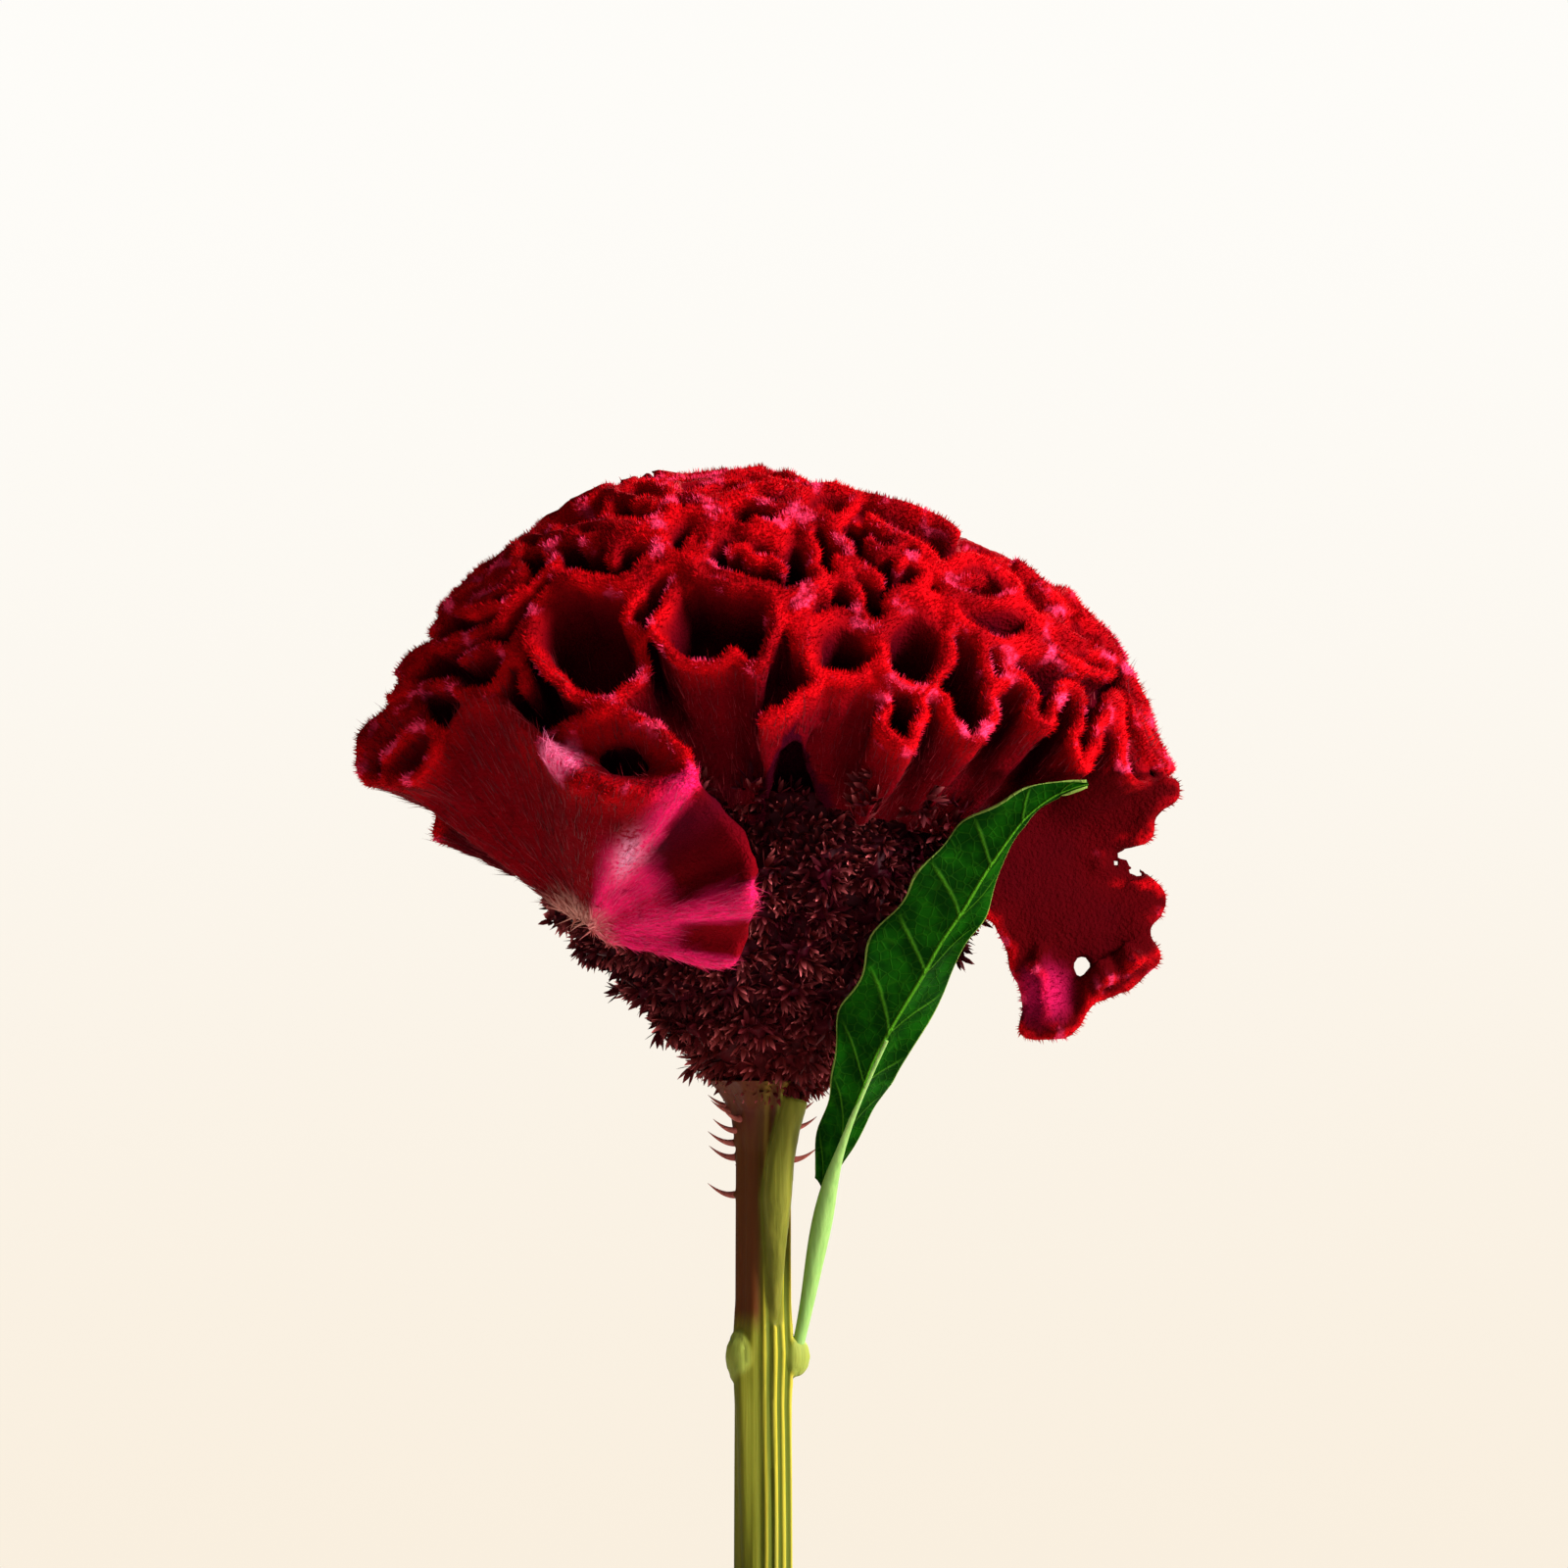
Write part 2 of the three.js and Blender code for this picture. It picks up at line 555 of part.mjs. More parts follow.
// Rims of the front, in view units, each point with an optional lift in millimetres
const FRONT_RIMS = [
  { name: 'ring at the left', closed: true, depth: 21, points: [
    [545, 655, 1], [552, 622], [580, 594], [612, 602], [638, 612], [634, 634], [649, 662, 1],
    [648, 695, 2], [615, 711, 2], [578, 695, 2], [558, 676, 2]] },
  { name: 'cup over the left ring', closed: true, points: [
    [572, 562], [588, 545], [628, 537], [662, 560], [652, 583], [631, 597], [602, 597], [580, 588]] },
  { name: 'upper cup', closed: true, depth: 11, points: [
    [630, 512], [652, 499], [678, 507], [676, 528], [652, 543], [632, 533]] },
  { name: 'brightest ring', closed: true, depth: 26, points: [
    [700, 586], [692, 612, 1], [675, 640, 2], [690, 662, 3], [722, 677, 3], [745, 663, 3],
    [768, 677, 3], [784, 645, 2], [787, 612, 1], [760, 598], [738, 590], [716, 580]] },
  { name: 'lobe left of it', depth: 12, points: [[653, 615], [664, 591], [682, 582], [702, 600]] },
  { name: 'small upper ring', closed: true, depth: 9, points: [
    [680, 545], [698, 532], [716, 545], [712, 562], [694, 570]] },
  { name: 'right upper ring', closed: true, points: [
    [716, 582, 1], [712, 556], [740, 541], [768, 546], [798, 558], [816, 538], [826, 566],
    [829, 592, 1], [806, 607, 1], [775, 602, 1], [745, 596, 1]] },
  { name: 'hook under it', depth: 16, points: [[826, 600], [822, 625], [800, 640], [786, 640]] },
  { name: 'long hook', depth: 26, points: [
    [832, 636], [812, 652, 1], [826, 676, 2], [834, 698, 2], [806, 718, 2], [775, 736, 2]] },
  { name: 'right middle ring', closed: true, depth: 17, points: [
    [834, 652, 1], [858, 632], [884, 654], [889, 678, 1], [862, 693, 2], [836, 684, 2]] },
  { name: 'slanting ridge', points: [[836, 530], [856, 548], [874, 572], [902, 596]] },
  { name: 'upright ridge', depth: 15, points: [[869, 598], [880, 628], [891, 664]] },
  { name: 'bean ring', closed: true, depth: 17, points: [
    [904, 665, 1], [908, 640], [934, 618], [958, 634], [962, 655], [956, 682, 1], [930, 700, 2],
    [908, 688, 2]] },
  { name: 'double wave', depth: 19, points: [
    [846, 694, 2], [882, 700, 1], [903, 714, 1], [900, 744, 4], [924, 762, 5], [938, 738, 4],
    [942, 706, 0], [962, 716, 2], [974, 740, 4], [992, 755, 5], [1009, 738, 3], [1006, 700, 1],
    [1000, 660, 1], [982, 640]] },
  { name: 'upper right cup', closed: true, depth: 11, points: [
    [962, 590], [982, 576], [1010, 582], [1026, 602], [1004, 614], [978, 608]] },
  { name: 'eye', closed: true, depth: 11, points: [
    [966, 612], [994, 622], [1026, 618], [1052, 634], [1030, 652], [996, 646]] },
  { name: 'ridge over the right wave', depth: 12, points: [
    [1018, 674], [1048, 660], [1078, 662], [1112, 680]] },
  { name: 'right wave', depth: 19, points: [
    [1006, 706, 2], [1036, 686], [1050, 706, 2], [1048, 732, 4], [1064, 740, 4], [1076, 712, 2],
    [1088, 692, -1], [1102, 720, 1], [1094, 762, 3], [1102, 786, 3], [1116, 766, 2], [1124, 730],
    [1136, 704, -1], [1142, 752, 1], [1152, 794, 1], [1182, 798]] },
  { name: 'outer right ridge', depth: 12, points: [[1098, 622], [1128, 648], [1152, 682], [1172, 724]] },
  { name: 'shoulder ridge', depth: 10, points: [[880, 530], [912, 548], [940, 562], [956, 590]] },
  { name: 'shoulder fold', depth: 12, points: [[886, 506], [918, 520], [948, 530], [980, 552]] },
  { name: 'crown fold', depth: 9, points: [[700, 506], [730, 520], [760, 510], [790, 520], [816, 512]] },
  { name: 'crown cup', closed: true, depth: 9, points: [
    [820, 510], [846, 500], [864, 516], [850, 530], [828, 526]] },
  { name: 'right shoulder ridge', depth: 10, points: [[1030, 575], [1060, 596], [1082, 620], [1064, 640]] },
  { name: 'left fold lip', depth: 18, points: [
    [398, 712], [428, 702], [456, 700], [482, 713], [508, 701], [518, 676], [536, 640]] },
  { name: 'left fold back', depth: 14, points: [[404, 690], [428, 666], [470, 650], [505, 640], [530, 612]] },
  { name: 'left upper ridge', depth: 12, points: [[446, 640], [470, 610], [500, 596], [540, 590]] },
  { name: 'left shoulder cup', closed: true, depth: 10, points: [
    [510, 585], [532, 556], [560, 540], [570, 556], [556, 586], [530, 602]] },
  { name: 'left tip ring', closed: true, depth: 11, points: [
    [374, 784], [370, 756], [390, 735], [426, 736], [444, 758], [436, 782], [404, 790]] },
];

// Rims of the crown and the back, placed by rule: rows of cups round a pole on the back of the
// dome. Angles in degrees: a row's tilt from the pole, and where it starts and ends.
const BACK_ROWS = [
  { tilt: 12, count: 3, start: 10, end: 170 },
  { tilt: 32, count: 6, start: -4, end: 184 },
  { tilt: 51, count: 7, start: 2, end: 178 },
  { tilt: 71, count: 8, start: 8, end: 169 },
  { tilt: 91, count: 8, start: 16, end: 158 },
];
const BACK_POLE_LIFT = 13;
const CUP_RADIUS = 8.4;
const CUP_POINTS = 9;
const CUP_DEPTH = 14;
const CUP_STEP = 8.8;

function backCup(tilt, bearing, random) {
  const [lean, turn, raise] = [tilt, bearing, BACK_POLE_LIFT].map(THREE.MathUtils.degToRad);
  const scale = new THREE.Vector3(DOME.a, DOME.b, DOME.c);
  const unit = new THREE.Vector3(
    Math.sin(lean) * Math.cos(turn), Math.cos(lean), Math.sin(lean) * Math.sin(turn));
  unit.applyAxisAngle(new THREE.Vector3(1, 0, 0), raise);
  const middle = unit.clone().multiply(scale);
  const outward = unit.clone().divide(scale).normalize();
  const level = new THREE.Vector3(0, 0, 1).cross(outward).normalize();
  const upward = outward.clone().cross(level);
  const size = CUP_RADIUS * (0.88 + 0.24 * random());
  const phase = 2 * Math.PI * random();
  const stretch = 1 + 0.3 * random();
  const open = random() < 0.3;
  const points = [];
  for (let k = 0; k < CUP_POINTS; k += 1) {
    const angle = (2 * Math.PI * k) / CUP_POINTS;
    const reach = size * (1 + 0.18 * Math.cos(2 * angle + phase)
      + 0.16 * Math.cos(3 * angle + 2 * phase));
    const point = middle.clone()
      .addScaledVector(level, reach * stretch * Math.cos(angle + phase))
      .addScaledVector(upward, (reach / stretch) * Math.sin(angle + phase));
    const onto = point.clone().divide(scale).length();
    point.divideScalar(onto).addScaledVector(outward, 1.8 * (random() - 0.7));
    points.push(point.setZ(point.z + DOME.z + along(DOME_LEAN, point.x)));
  }
  return ruffle(points, { closed: !open, depth: CUP_DEPTH, step: CUP_STEP, keel: true });
}

function makeBackRims() {
  const random = seeded(23);
  const cups = [];
  for (const { tilt, count, start, end } of BACK_ROWS) {
    for (let k = 0; k < count; k += 1) {
      const bearing = start + ((end - start) * (k + 0.3 * (random() - 0.5))) / (count - 1);
      cups.push(backCup(tilt + 4 * (random() - 0.5), bearing, random));
    }
  }
  return cups;
}

// The fluted core that the rims stand out of
const CORE_SIDES = 20;
const CORE_FLUTES = 7;
const CORE_FLUTE_DEPTH = 1.5;
const CORE = [
  { z: 251, a: 33, b: 8, back: 8 },
  { z: 257, a: 40.5, b: 15, back: 16 },
  { z: 263, a: 47, b: 26.6, back: 26.6 },
  { z: 270, a: 54, b: 31, back: 32 },
  { z: 279, a: 54, b: 31.5, back: 33 },
  { z: 291, a: 47, b: 25, back: 29 },
  { z: 303, a: 31.5, b: 14.6, back: 19 },
  { z: 310, a: 14, b: 6, back: 8 },
];

function makeCore() {
  return loft(CORE.map(({ z, a, b, back }, index) => {
    const flute = CORE_FLUTE_DEPTH * Math.min(1, index / 3);
    return ellipseRing(a, b, z, CORE_SIDES).map((point, k) => {
      const turn = (2 * Math.PI * k * CORE_FLUTES) / CORE_SIDES;
      const reach = 1 + flute * Math.cos(turn + 0.25 * index) / Math.hypot(point.x, point.y);
      const deep = point.y > 0 ? back / b : 1;
      return new THREE.Vector3(point.x * reach, point.y * reach * deep, z);
    });
  }));
}

// The left wall fans out from a root on the funnel. Upwards it runs into the comb, in front it
// ends in a lip and a turned-out flap. Stations in view units: the margin, with its lean
// forward for each millimetre away from the root.
const FAN_ROOT = { x: viewX(600), y: -11, z: viewZ(948) };
const FAN_START = 2;
const FAN_ROWS = 2;
const FAN_HALF_THICKNESS = 1.4;
const FAN_BOW = 2.2;
const FAN_MARGIN = [
  { at: [690, 952], lean: 0.62 }, { at: [748, 982], lean: 0.8 }, { at: [763, 952], lean: 0.82 },
  { at: [768, 914], lean: 1.12 }, { at: [768, 882], lean: 0.88 }, { at: [757, 852], lean: 0.84 },
  { at: [736, 824], lean: 0.9 }, { at: [710, 802], lean: 1.22 }, { at: [675, 808], lean: 1.38 },
  { at: [640, 809], lean: 1.5 }, { at: [608, 803], lean: 1.36 }, { at: [580, 788], lean: 1.06 },
  { at: [558, 760], lean: 0.78 }, { at: [535, 732], lean: 0.56 }, { at: [508, 712], lean: 0.38 },
  { at: [478, 720], lean: 0.26 }, { at: [458, 748], lean: 0.16 },
  { at: [436, 782], lean: 0.06, rise: 2.4 }, { at: [388, 786], lean: 0.0, rise: 2.4 },
];
const FLAP_STATIONS = [1, 8];
const LIP_STATIONS = [7, 13];

function fanPoint({ at, lean, rise = 0 }, share) {
  const dx = viewX(at[0]) - FAN_ROOT.x;
  const dz = viewZ(at[1]) - FAN_ROOT.z;
  const reach = Math.hypot(dx, dz);
  const part = (FAN_START + (reach - FAN_START) * share) / reach;
  const arch = Math.sin(Math.PI * share);
  return new THREE.Vector3(
    FAN_ROOT.x + dx * part,
    FAN_ROOT.y - lean * reach * part - FAN_BOW * arch,
    FAN_ROOT.z + dz * part + rise * arch);
}

function makeLeftFan() {
  const rows = FAN_MARGIN.map((station) => {
    const row = [];
    for (let k = 0; k <= FAN_ROWS; k += 1) row.push(fanPoint(station, k / FAN_ROWS));
    return row;
  });
  const root = new THREE.Vector3(FAN_ROOT.x, FAN_ROOT.y, FAN_ROOT.z);
  const flapMargin = FAN_MARGIN.slice(...FLAP_STATIONS).map((at) => fanPoint(at, 0.97));
  const lipMargin = FAN_MARGIN.slice(...LIP_STATIONS).map((at) => fanPoint(at, 0.98));
  const lipTop = [
    [558, 762, -4], [572, 744, 0], [602, 731, 2], [632, 728, 3], [664, 737, 3], [690, 756, 3],
    [708, 786, 4],
  ].map(([right, down, lift]) => onDome(right, down, lift));
  return join([
    sheet(rows, FAN_HALF_THICKNESS),
    ruffle(flapMargin, { depth: 4, thickness: 3, focus: root, step: 6 }),
    ruffle(lipMargin, { depth: 6, thickness: 3.6, focus: root, step: 6 }),
    ruffle(lipTop, { depth: 13, thickness: 3.4, focus: new THREE.Vector3(-20, -6, 262) }),
    ruffle([lipTop[6], lipMargin[0]],
      { depth: 8, thickness: 3.2, focus: new THREE.Vector3(-20, -6, 262) }),
  ]);
}

// The right flap hangs beside the head, with a notched and rolled margin and a small slit.
const FLAP_FACE = (x, z) => -17.5 + 0.3 * (x - 36) + 1.3 * Math.sin(z / 5 + x / 8);
const FLAP_HALF_THICKNESS = 1.5;
const FLAP_GRID = { x: [25, 64, 5], z: [226, 284, 8] };
const FLAP_ROOT = new THREE.Vector3(viewX(1075), -19, viewZ(890));
const FLAP_OUTLINE = [
  [962, 742], [958, 842], [1000, 930], [1019, 944], [1031, 986], [1043, 1022], [1040, 1050],
  [1068, 1057], [1094, 1048], [1114, 1021], [1158, 1008], [1184, 976], [1170, 960], [1170, 950],
  [1190, 930], [1193, 906], [1176, 888], [1150, 892], [1134, 882], [1140, 866], [1164, 860],
  [1178, 846], [1182, 800], [1150, 752], [1060, 742],
];
const FLAP_SLIT = [[1090, 976], [1103, 984], [1107, 1000], [1099, 996]];
const FLAP_RIMS = [
  { from: 5, to: 13 },
  { from: 13, to: 18 },
  { from: 18, to: 22 },
];

function makeRightFlap() {
  const rows = [];
  const [xLow, xHigh, xSteps] = FLAP_GRID.x;
  const [zLow, zHigh, zSteps] = FLAP_GRID.z;
  for (let row = 0; row <= zSteps; row += 1) {
    const z = THREE.MathUtils.lerp(zLow, zHigh, row / zSteps);
    const points = [];
    for (let k = 0; k <= xSteps; k += 1) {
      const x = THREE.MathUtils.lerp(xLow, xHigh, k / xSteps);
      points.push(new THREE.Vector3(x, FLAP_FACE(x, z), z));
    }
    rows.push(points);
  }
  const flat = ([right, down]) => new THREE.Vector2(viewX(right), viewZ(down));
  const outline = new THREE.Shape(FLAP_OUTLINE.map(flat));
  outline.holes.push(new THREE.Path(FLAP_SLIT.map(flat)));
  const cutter = new THREE.ExtrudeGeometry(outline, { depth: 80, bevelEnabled: false });
  const plate = sheet(rows, FLAP_HALF_THICKNESS).intersect(
    toSolid(cutter.rotateX(Math.PI / 2).translate(0, 20, 0)));
  const margin = ([right, down]) => {
    const [x, z] = [viewX(right), viewZ(down)];
    return new THREE.Vector3(x, FLAP_FACE(x, z), z);
  };
  const rims = FLAP_RIMS.map(({ from, to }) => ruffle(
    FLAP_OUTLINE.slice(from, to + 1).map(margin),
    { depth: 4.5, thickness: 3.8, focus: FLAP_ROOT, step: 6 }));
  const lobe = ruffle([[1180, 800], [1196, 790], [1204, 812], [1194, 828], [1178, 832]].map(margin),
    { depth: 4, thickness: 3, focus: FLAP_ROOT });
  const fold = ruffle([[1046, 984, 2], [1066, 1000, 3], [1060, 1020, 3], [1076, 1044, 2]].map(
    ([right, down, lift]) => margin([right, down]).add(new THREE.Vector3(0, -lift, 0))),
  { depth: 4, thickness: 3, focus: FLAP_ROOT });
  return join([plate, ...rims, lobe, fold]);
}

// A dark cleft between two walls, low in the middle of the front
const CLEFT = { top: [806, 742], feet: [[774, 872], [846, 872]], outside: -48, inside: -21 };

function makeCleft() {
  const corners = [CLEFT.top, ...CLEFT.feet];
  return hull([CLEFT.outside, CLEFT.inside].flatMap((y) => corners.map(
    ([right, down]) => new THREE.Vector3(viewX(right), y, viewZ(down)))));
}

function makeCrest(funnelCutter) {
  const front = FRONT_RIMS.map(({ closed, depth = RIM_DEPTH, points }) => ruffle(
    points.map(([right, down, lift]) => onDome(right, down, lift)),
    { closed, depth, keel: depth < KEEL_BELOW }));
  const comb = join([makeCore(), ...front, ...makeBackRims(), makeLeftFan(), makeRightFlap()]);
  return biggest(comb.subtract(join([funnelCutter, makeCleft()])));
}

// The plant is put together from the ground up
const stemCutter = join([
  stemBody(GAP),
  knuckle(RIGHT_KNUCKLE.x, RIGHT_KNUCKLE.y, RIGHT_KNUCKLE.z,
    RIGHT_KNUCKLE.radius + GAP, RIGHT_KNUCKLE.stretch),
]);
const funnelCutter = funnelBody(GAP);
const crest = makeCrest(funnelCutter);
const stem = makeStem(funnelCutter);
const upperLeaf = makeUpperLeaf(stemCutter);
const solids = {
  pot: makePot(),
  soil: makeSoil(stemCutter),
  stem,
  florets: makeFlorets([crest, upperLeaf, stem]),
  crest,
  leaf_upper: upperLeaf,
};
for (let index = 0; index < LOWER_LEAF_COUNT; index += 1) {
  solids[`leaf_lower_${index + 1}`] = makeLowerLeaf(index, stemCutter);
}

const FINISHES = {
  pot: { color: 0xb5673f, roughness: 0.85 },
  soil: { color: 0x2c1f17, roughness: 0.95 },
  stem: { color: 0x7f8a35, roughness: 0.5 },
  florets: { color: 0x4a1520, roughness: 0.8 },
  crest: { color: 0x97081f, roughness: 0.85 },
  leaf: { color: 0x1f6a22, roughness: 0.5 },
};

const plant = new THREE.Group();
for (const [name, solid] of Object.entries(solids)) {
  const finish = FINISHES[name.startsWith('leaf') ? 'leaf' : name];
  const material = new THREE.MeshStandardMaterial({ ...finish, metalness: 0 });
  const mesh = new THREE.Mesh(toGeometry(solid), material);
  mesh.name = name;
  plant.add(mesh);
}

export default plant;
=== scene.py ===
import math

import bmesh
import bpy
import numpy as np
from mathutils import Matrix, Vector
from mathutils.bvhtree import BVHTree
from mathutils.kdtree import KDTree


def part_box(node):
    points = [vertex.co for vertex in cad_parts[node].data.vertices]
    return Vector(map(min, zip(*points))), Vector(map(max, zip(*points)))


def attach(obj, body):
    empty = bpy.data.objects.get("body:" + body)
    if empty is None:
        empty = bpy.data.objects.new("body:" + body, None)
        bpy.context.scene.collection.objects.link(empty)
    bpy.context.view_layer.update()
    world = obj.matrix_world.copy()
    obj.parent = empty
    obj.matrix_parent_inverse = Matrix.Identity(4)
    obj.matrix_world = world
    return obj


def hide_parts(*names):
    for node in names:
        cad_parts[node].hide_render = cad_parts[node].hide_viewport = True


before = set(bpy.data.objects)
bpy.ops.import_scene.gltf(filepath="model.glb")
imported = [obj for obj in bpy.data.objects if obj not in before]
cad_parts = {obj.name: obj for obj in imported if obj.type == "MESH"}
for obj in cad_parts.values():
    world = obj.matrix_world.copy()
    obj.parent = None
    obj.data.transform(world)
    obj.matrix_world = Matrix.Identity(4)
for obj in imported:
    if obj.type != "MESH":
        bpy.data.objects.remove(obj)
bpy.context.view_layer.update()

MM = 0.001

# Camera: level with the flower head and far off with a long lens. It takes in 240 mm of the
# plant from side to side, from the stem's middle up, as the photograph does.
VIEW_WIDTH = 240 * MM
VIEW_DISTANCE = 2.4
VIEW_MIDDLE = (1.875 * MM, 270 * MM)
SENSOR = 36


def placed(name, data):
    piece = bpy.data.objects.new(name, data)
    bpy.context.scene.collection.objects.link(piece)
    return piece


camera = placed("camera", bpy.data.cameras.new("camera"))
camera.data.sensor_width = SENSOR
camera.data.lens = SENSOR * VIEW_DISTANCE / VIEW_WIDTH
camera.location = (VIEW_MIDDLE[0], -VIEW_DISTANCE, VIEW_MIDDLE[1])
camera.rotation_euler = (math.pi / 2, 0, 0)
bpy.context.scene.camera = camera


# Studio: a soft window-like lamp high at the right, a weaker one behind the head and a pale
# room all round. The floor is a pale table top.
class Value:
    """A number, colour or vector on its way through nodes. Numbers take Python's operators."""

    def __init__(self, nodes, socket):
        self.nodes, self.socket = nodes, socket

    def math(self, operation, *others):
        return self.nodes.add("ShaderNodeMath", {"operation": operation},
                              dict(enumerate([self, *others])))

    def __add__(self, other):
        return self.math("ADD", other)

    def __mul__(self, other):
        return self.math("MULTIPLY", other)

    def __sub__(self, other):
        return self.math("SUBTRACT", other)

    def __rsub__(self, other):
        return (self * -1) + other

    def __pow__(self, other):
        return self.math("POWER", other)

    __radd__ = __add__
    __rmul__ = __mul__


class Nodes:
    """A node tree that is filled one node at a time."""

    def __init__(self, tree):
        self.tree = tree

    def add(self, kind, settings=None, sockets=None, output=0):
        node = self.tree.nodes.new(kind)
        for key, setting in (settings or {}).items():
            if key == "stops":
                ramp = node.color_ramp.elements
                while len(ramp) < len(setting):
                    ramp.new(0.5)
                for stop, (place, colour) in zip(ramp, setting):
                    stop.position = place
                    stop.color = (*colour, 1)
            else:
                setattr(node, key, setting)
        for key, given in (sockets or {}).items():
            self.put(node.inputs[key], given)
        return Value(self, node.outputs[output]) if len(node.outputs) else node

    def put(self, socket, given):
        if isinstance(given, Value):
            self.tree.links.new(given.socket, socket)
        elif socket.type == "RGBA":
            socket.default_value = (*given, 1)
        else:
            socket.default_value = given

    def mix(self, factor, a, b, blend="MIX"):
        return self.add("ShaderNodeMix", {"data_type": "RGBA", "blend_type": blend},
                        {0: factor, 6: a, 7: b}, 2)

    def ramp(self, value, stops):
        return self.add("ShaderNodeValToRGB", {"stops": stops}, {0: value})

    def span(self, value, low, high):
        return self.add("ShaderNodeMapRange", {"interpolation_type": "SMOOTHSTEP"},
                        {"Value": value, "From Min": low, "From Max": high})

    def attribute(self, name):
        return self.add("ShaderNodeAttribute", {"attribute_name": name}, output="Fac")

    def place(self, scale=(1, 1, 1)):
        here = self.add("ShaderNodeTexCoord", output="Object")
        return self.add("ShaderNodeMapping", None, {"Vector": here, "Scale": scale})

    def height(self):
        return self.add("ShaderNodeSeparateXYZ", None, {0: self.place()}, output="Z")

    def distance(self, spot):
        return self.add("ShaderNodeVectorMath", {"operation": "DISTANCE"}, {
            0: self.place(), 1: tuple(float(x) for x in spot)}, "Value")

    def noise(self, size, detail=4, scale=(1, 1, 1), distortion=0.0):
        return self.add("ShaderNodeTexNoise", None, {
            "Vector": self.place(scale), "Scale": 1 / size, "Detail": detail,
            "Distortion": distortion})


class Finish(Nodes):
    """A material on one Principled shader."""

    def __init__(self, name):
        self.material = bpy.data.materials.new(name)
        self.material.use_nodes = True
        super().__init__(self.material.node_tree)
        self.shader = self.tree.nodes["Principled BSDF"]

    def surface(self, sockets):
        for key, given in sockets.items():
            self.put(self.shader.inputs[key], given)

    def relief(self, height, depth):
        bump = self.add("ShaderNodeBump", None, {"Height": height, "Distance": depth})
        self.put(self.shader.inputs["Normal"], bump)


def shaped(name, work):
    """A new piece with the mesh that was worked on, which is then let go."""
    piece = placed(name, bpy.data.meshes.new(name))
    work.to_mesh(piece.data)
    work.free()
    return piece


TABLE_RADIUS = 2.6
TABLE_COLOUR = (0.90, 0.84, 0.74)
ROOM_TOP = (1.0, 0.985, 0.95)
ROOM_FOOT = (0.96, 0.87, 0.74)
ROOM_BRIGHTNESS = 0.99
ROOM_FILL = 0.12

sky = bpy.data.worlds.new("room")
bpy.context.scene.world = sky
sky.use_nodes = True
room = Nodes(sky.node_tree)
heading = room.add("ShaderNodeTexCoord", output="Generated")
height = room.add("ShaderNodeSeparateXYZ", None, {0: heading}, output="Z")
glow = room.mix(room.span(height, -0.06, 0.05), ROOM_FOOT, ROOM_TOP)
seen = room.add("ShaderNodeLightPath", output="Is Camera Ray")
room.put(sky.node_tree.nodes["Background"].inputs["Color"], glow)
room.put(sky.node_tree.nodes["Background"].inputs["Strength"],
         ROOM_FILL + seen * (ROOM_BRIGHTNESS - ROOM_FILL))

shell = bmesh.new()
bmesh.ops.create_circle(shell, cap_ends=True, segments=128, radius=TABLE_RADIUS)
bmesh.ops.translate(shell, verts=shell.verts, vec=(0, 0, -0.2 * MM))
table = shaped("table_top", shell)
matt = Finish("table_top")
matt.surface({"Base Color": TABLE_COLOUR, "Roughness": 0.8 + 0.1 * matt.noise(60 * MM)})
table.data.materials.append(matt.material)


def lamp(name, place, target, size, power, colour):
    light = bpy.data.lights.new(name, "AREA")
    light.size, light.energy, light.color = size, power, colour
    holder = placed(name, light)
    holder.location = place
    aim = Vector(target) - Vector(place)
    holder.rotation_euler = aim.to_track_quat("-Z", "Y").to_euler()


HEAD = (0, 0, 0.275)
lamp("window", (1.15, -0.55, 0.88), HEAD, 0.4, 40, (1.0, 0.97, 0.93))
lamp("back_glow", (0.45, 0.95, 1.0), HEAD, 0.6, 26, (1.0, 0.96, 0.95))
bpy.context.scene.view_settings.view_transform = "Standard"

# Pot: turned terracotta, fired and unglazed, with a plain rim band and three drainage holes. It
# is dusty where hands and water leave it, with pale patches of lime.
CLAY = (0.42, 0.125, 0.045)
CLAY_DARK = (0.26, 0.07, 0.025)
CLAY_LIME = (0.56, 0.36, 0.24)

# Half of the pot's section, from the middle of its underside to the middle of its floor.
POT_PROFILE = [(0.01, 0), (41.8, 0), (42.6, 0.3), (43, 1.2), (60, 93), (62.6, 93.6), (64.4, 94.4),
               (65, 95.4), (65, 113.6), (64.7, 114.6), (63.8, 115), (61.2, 115), (60.3, 114.7),
               (59.8, 113.8), (38.6, 7.2), (37.4, 6.2), (36, 6), (0.01, 6)]
POT_TURNS = 96
DRAIN_RADIUS = 4 * MM
DRAIN_RING = 22 * MM


def settle(piece):
    """Leaves the mesh that a piece's modifiers make, and no modifiers."""
    bpy.context.view_layer.update()
    graph = bpy.context.evaluated_depsgraph_get()
    mesh = bpy.data.meshes.new_from_object(
        piece.evaluated_get(graph), preserve_all_data_layers=True, depsgraph=graph)
    piece.modifiers.clear()
    piece.data = mesh
    return piece


def modify(piece, kind, **settings):
    step = piece.modifiers.new(kind.lower(), kind)
    for key, setting in settings.items():
        setattr(step, key, setting)


clay = Finish("terracotta")
clouds = clay.noise(24 * MM, 6)
lime = clay.span(clay.noise(9 * MM, 8, (1, 1, 0.4)), 0.56, 0.75)
turned = clay.noise(2.2 * MM, 3, (0.05, 0.05, 1))
grain = clay.noise(0.5 * MM, 2)
body = clay.mix(clay.span(clouds, 0.3, 0.7), CLAY_DARK, CLAY)
clay.surface({"Base Color": clay.mix(lime * 0.55, body, CLAY_LIME),
              "Roughness": 0.72 + 0.2 * clouds})
clay.relief(0.7 * turned + 0.3 * grain, 0.5 * MM)

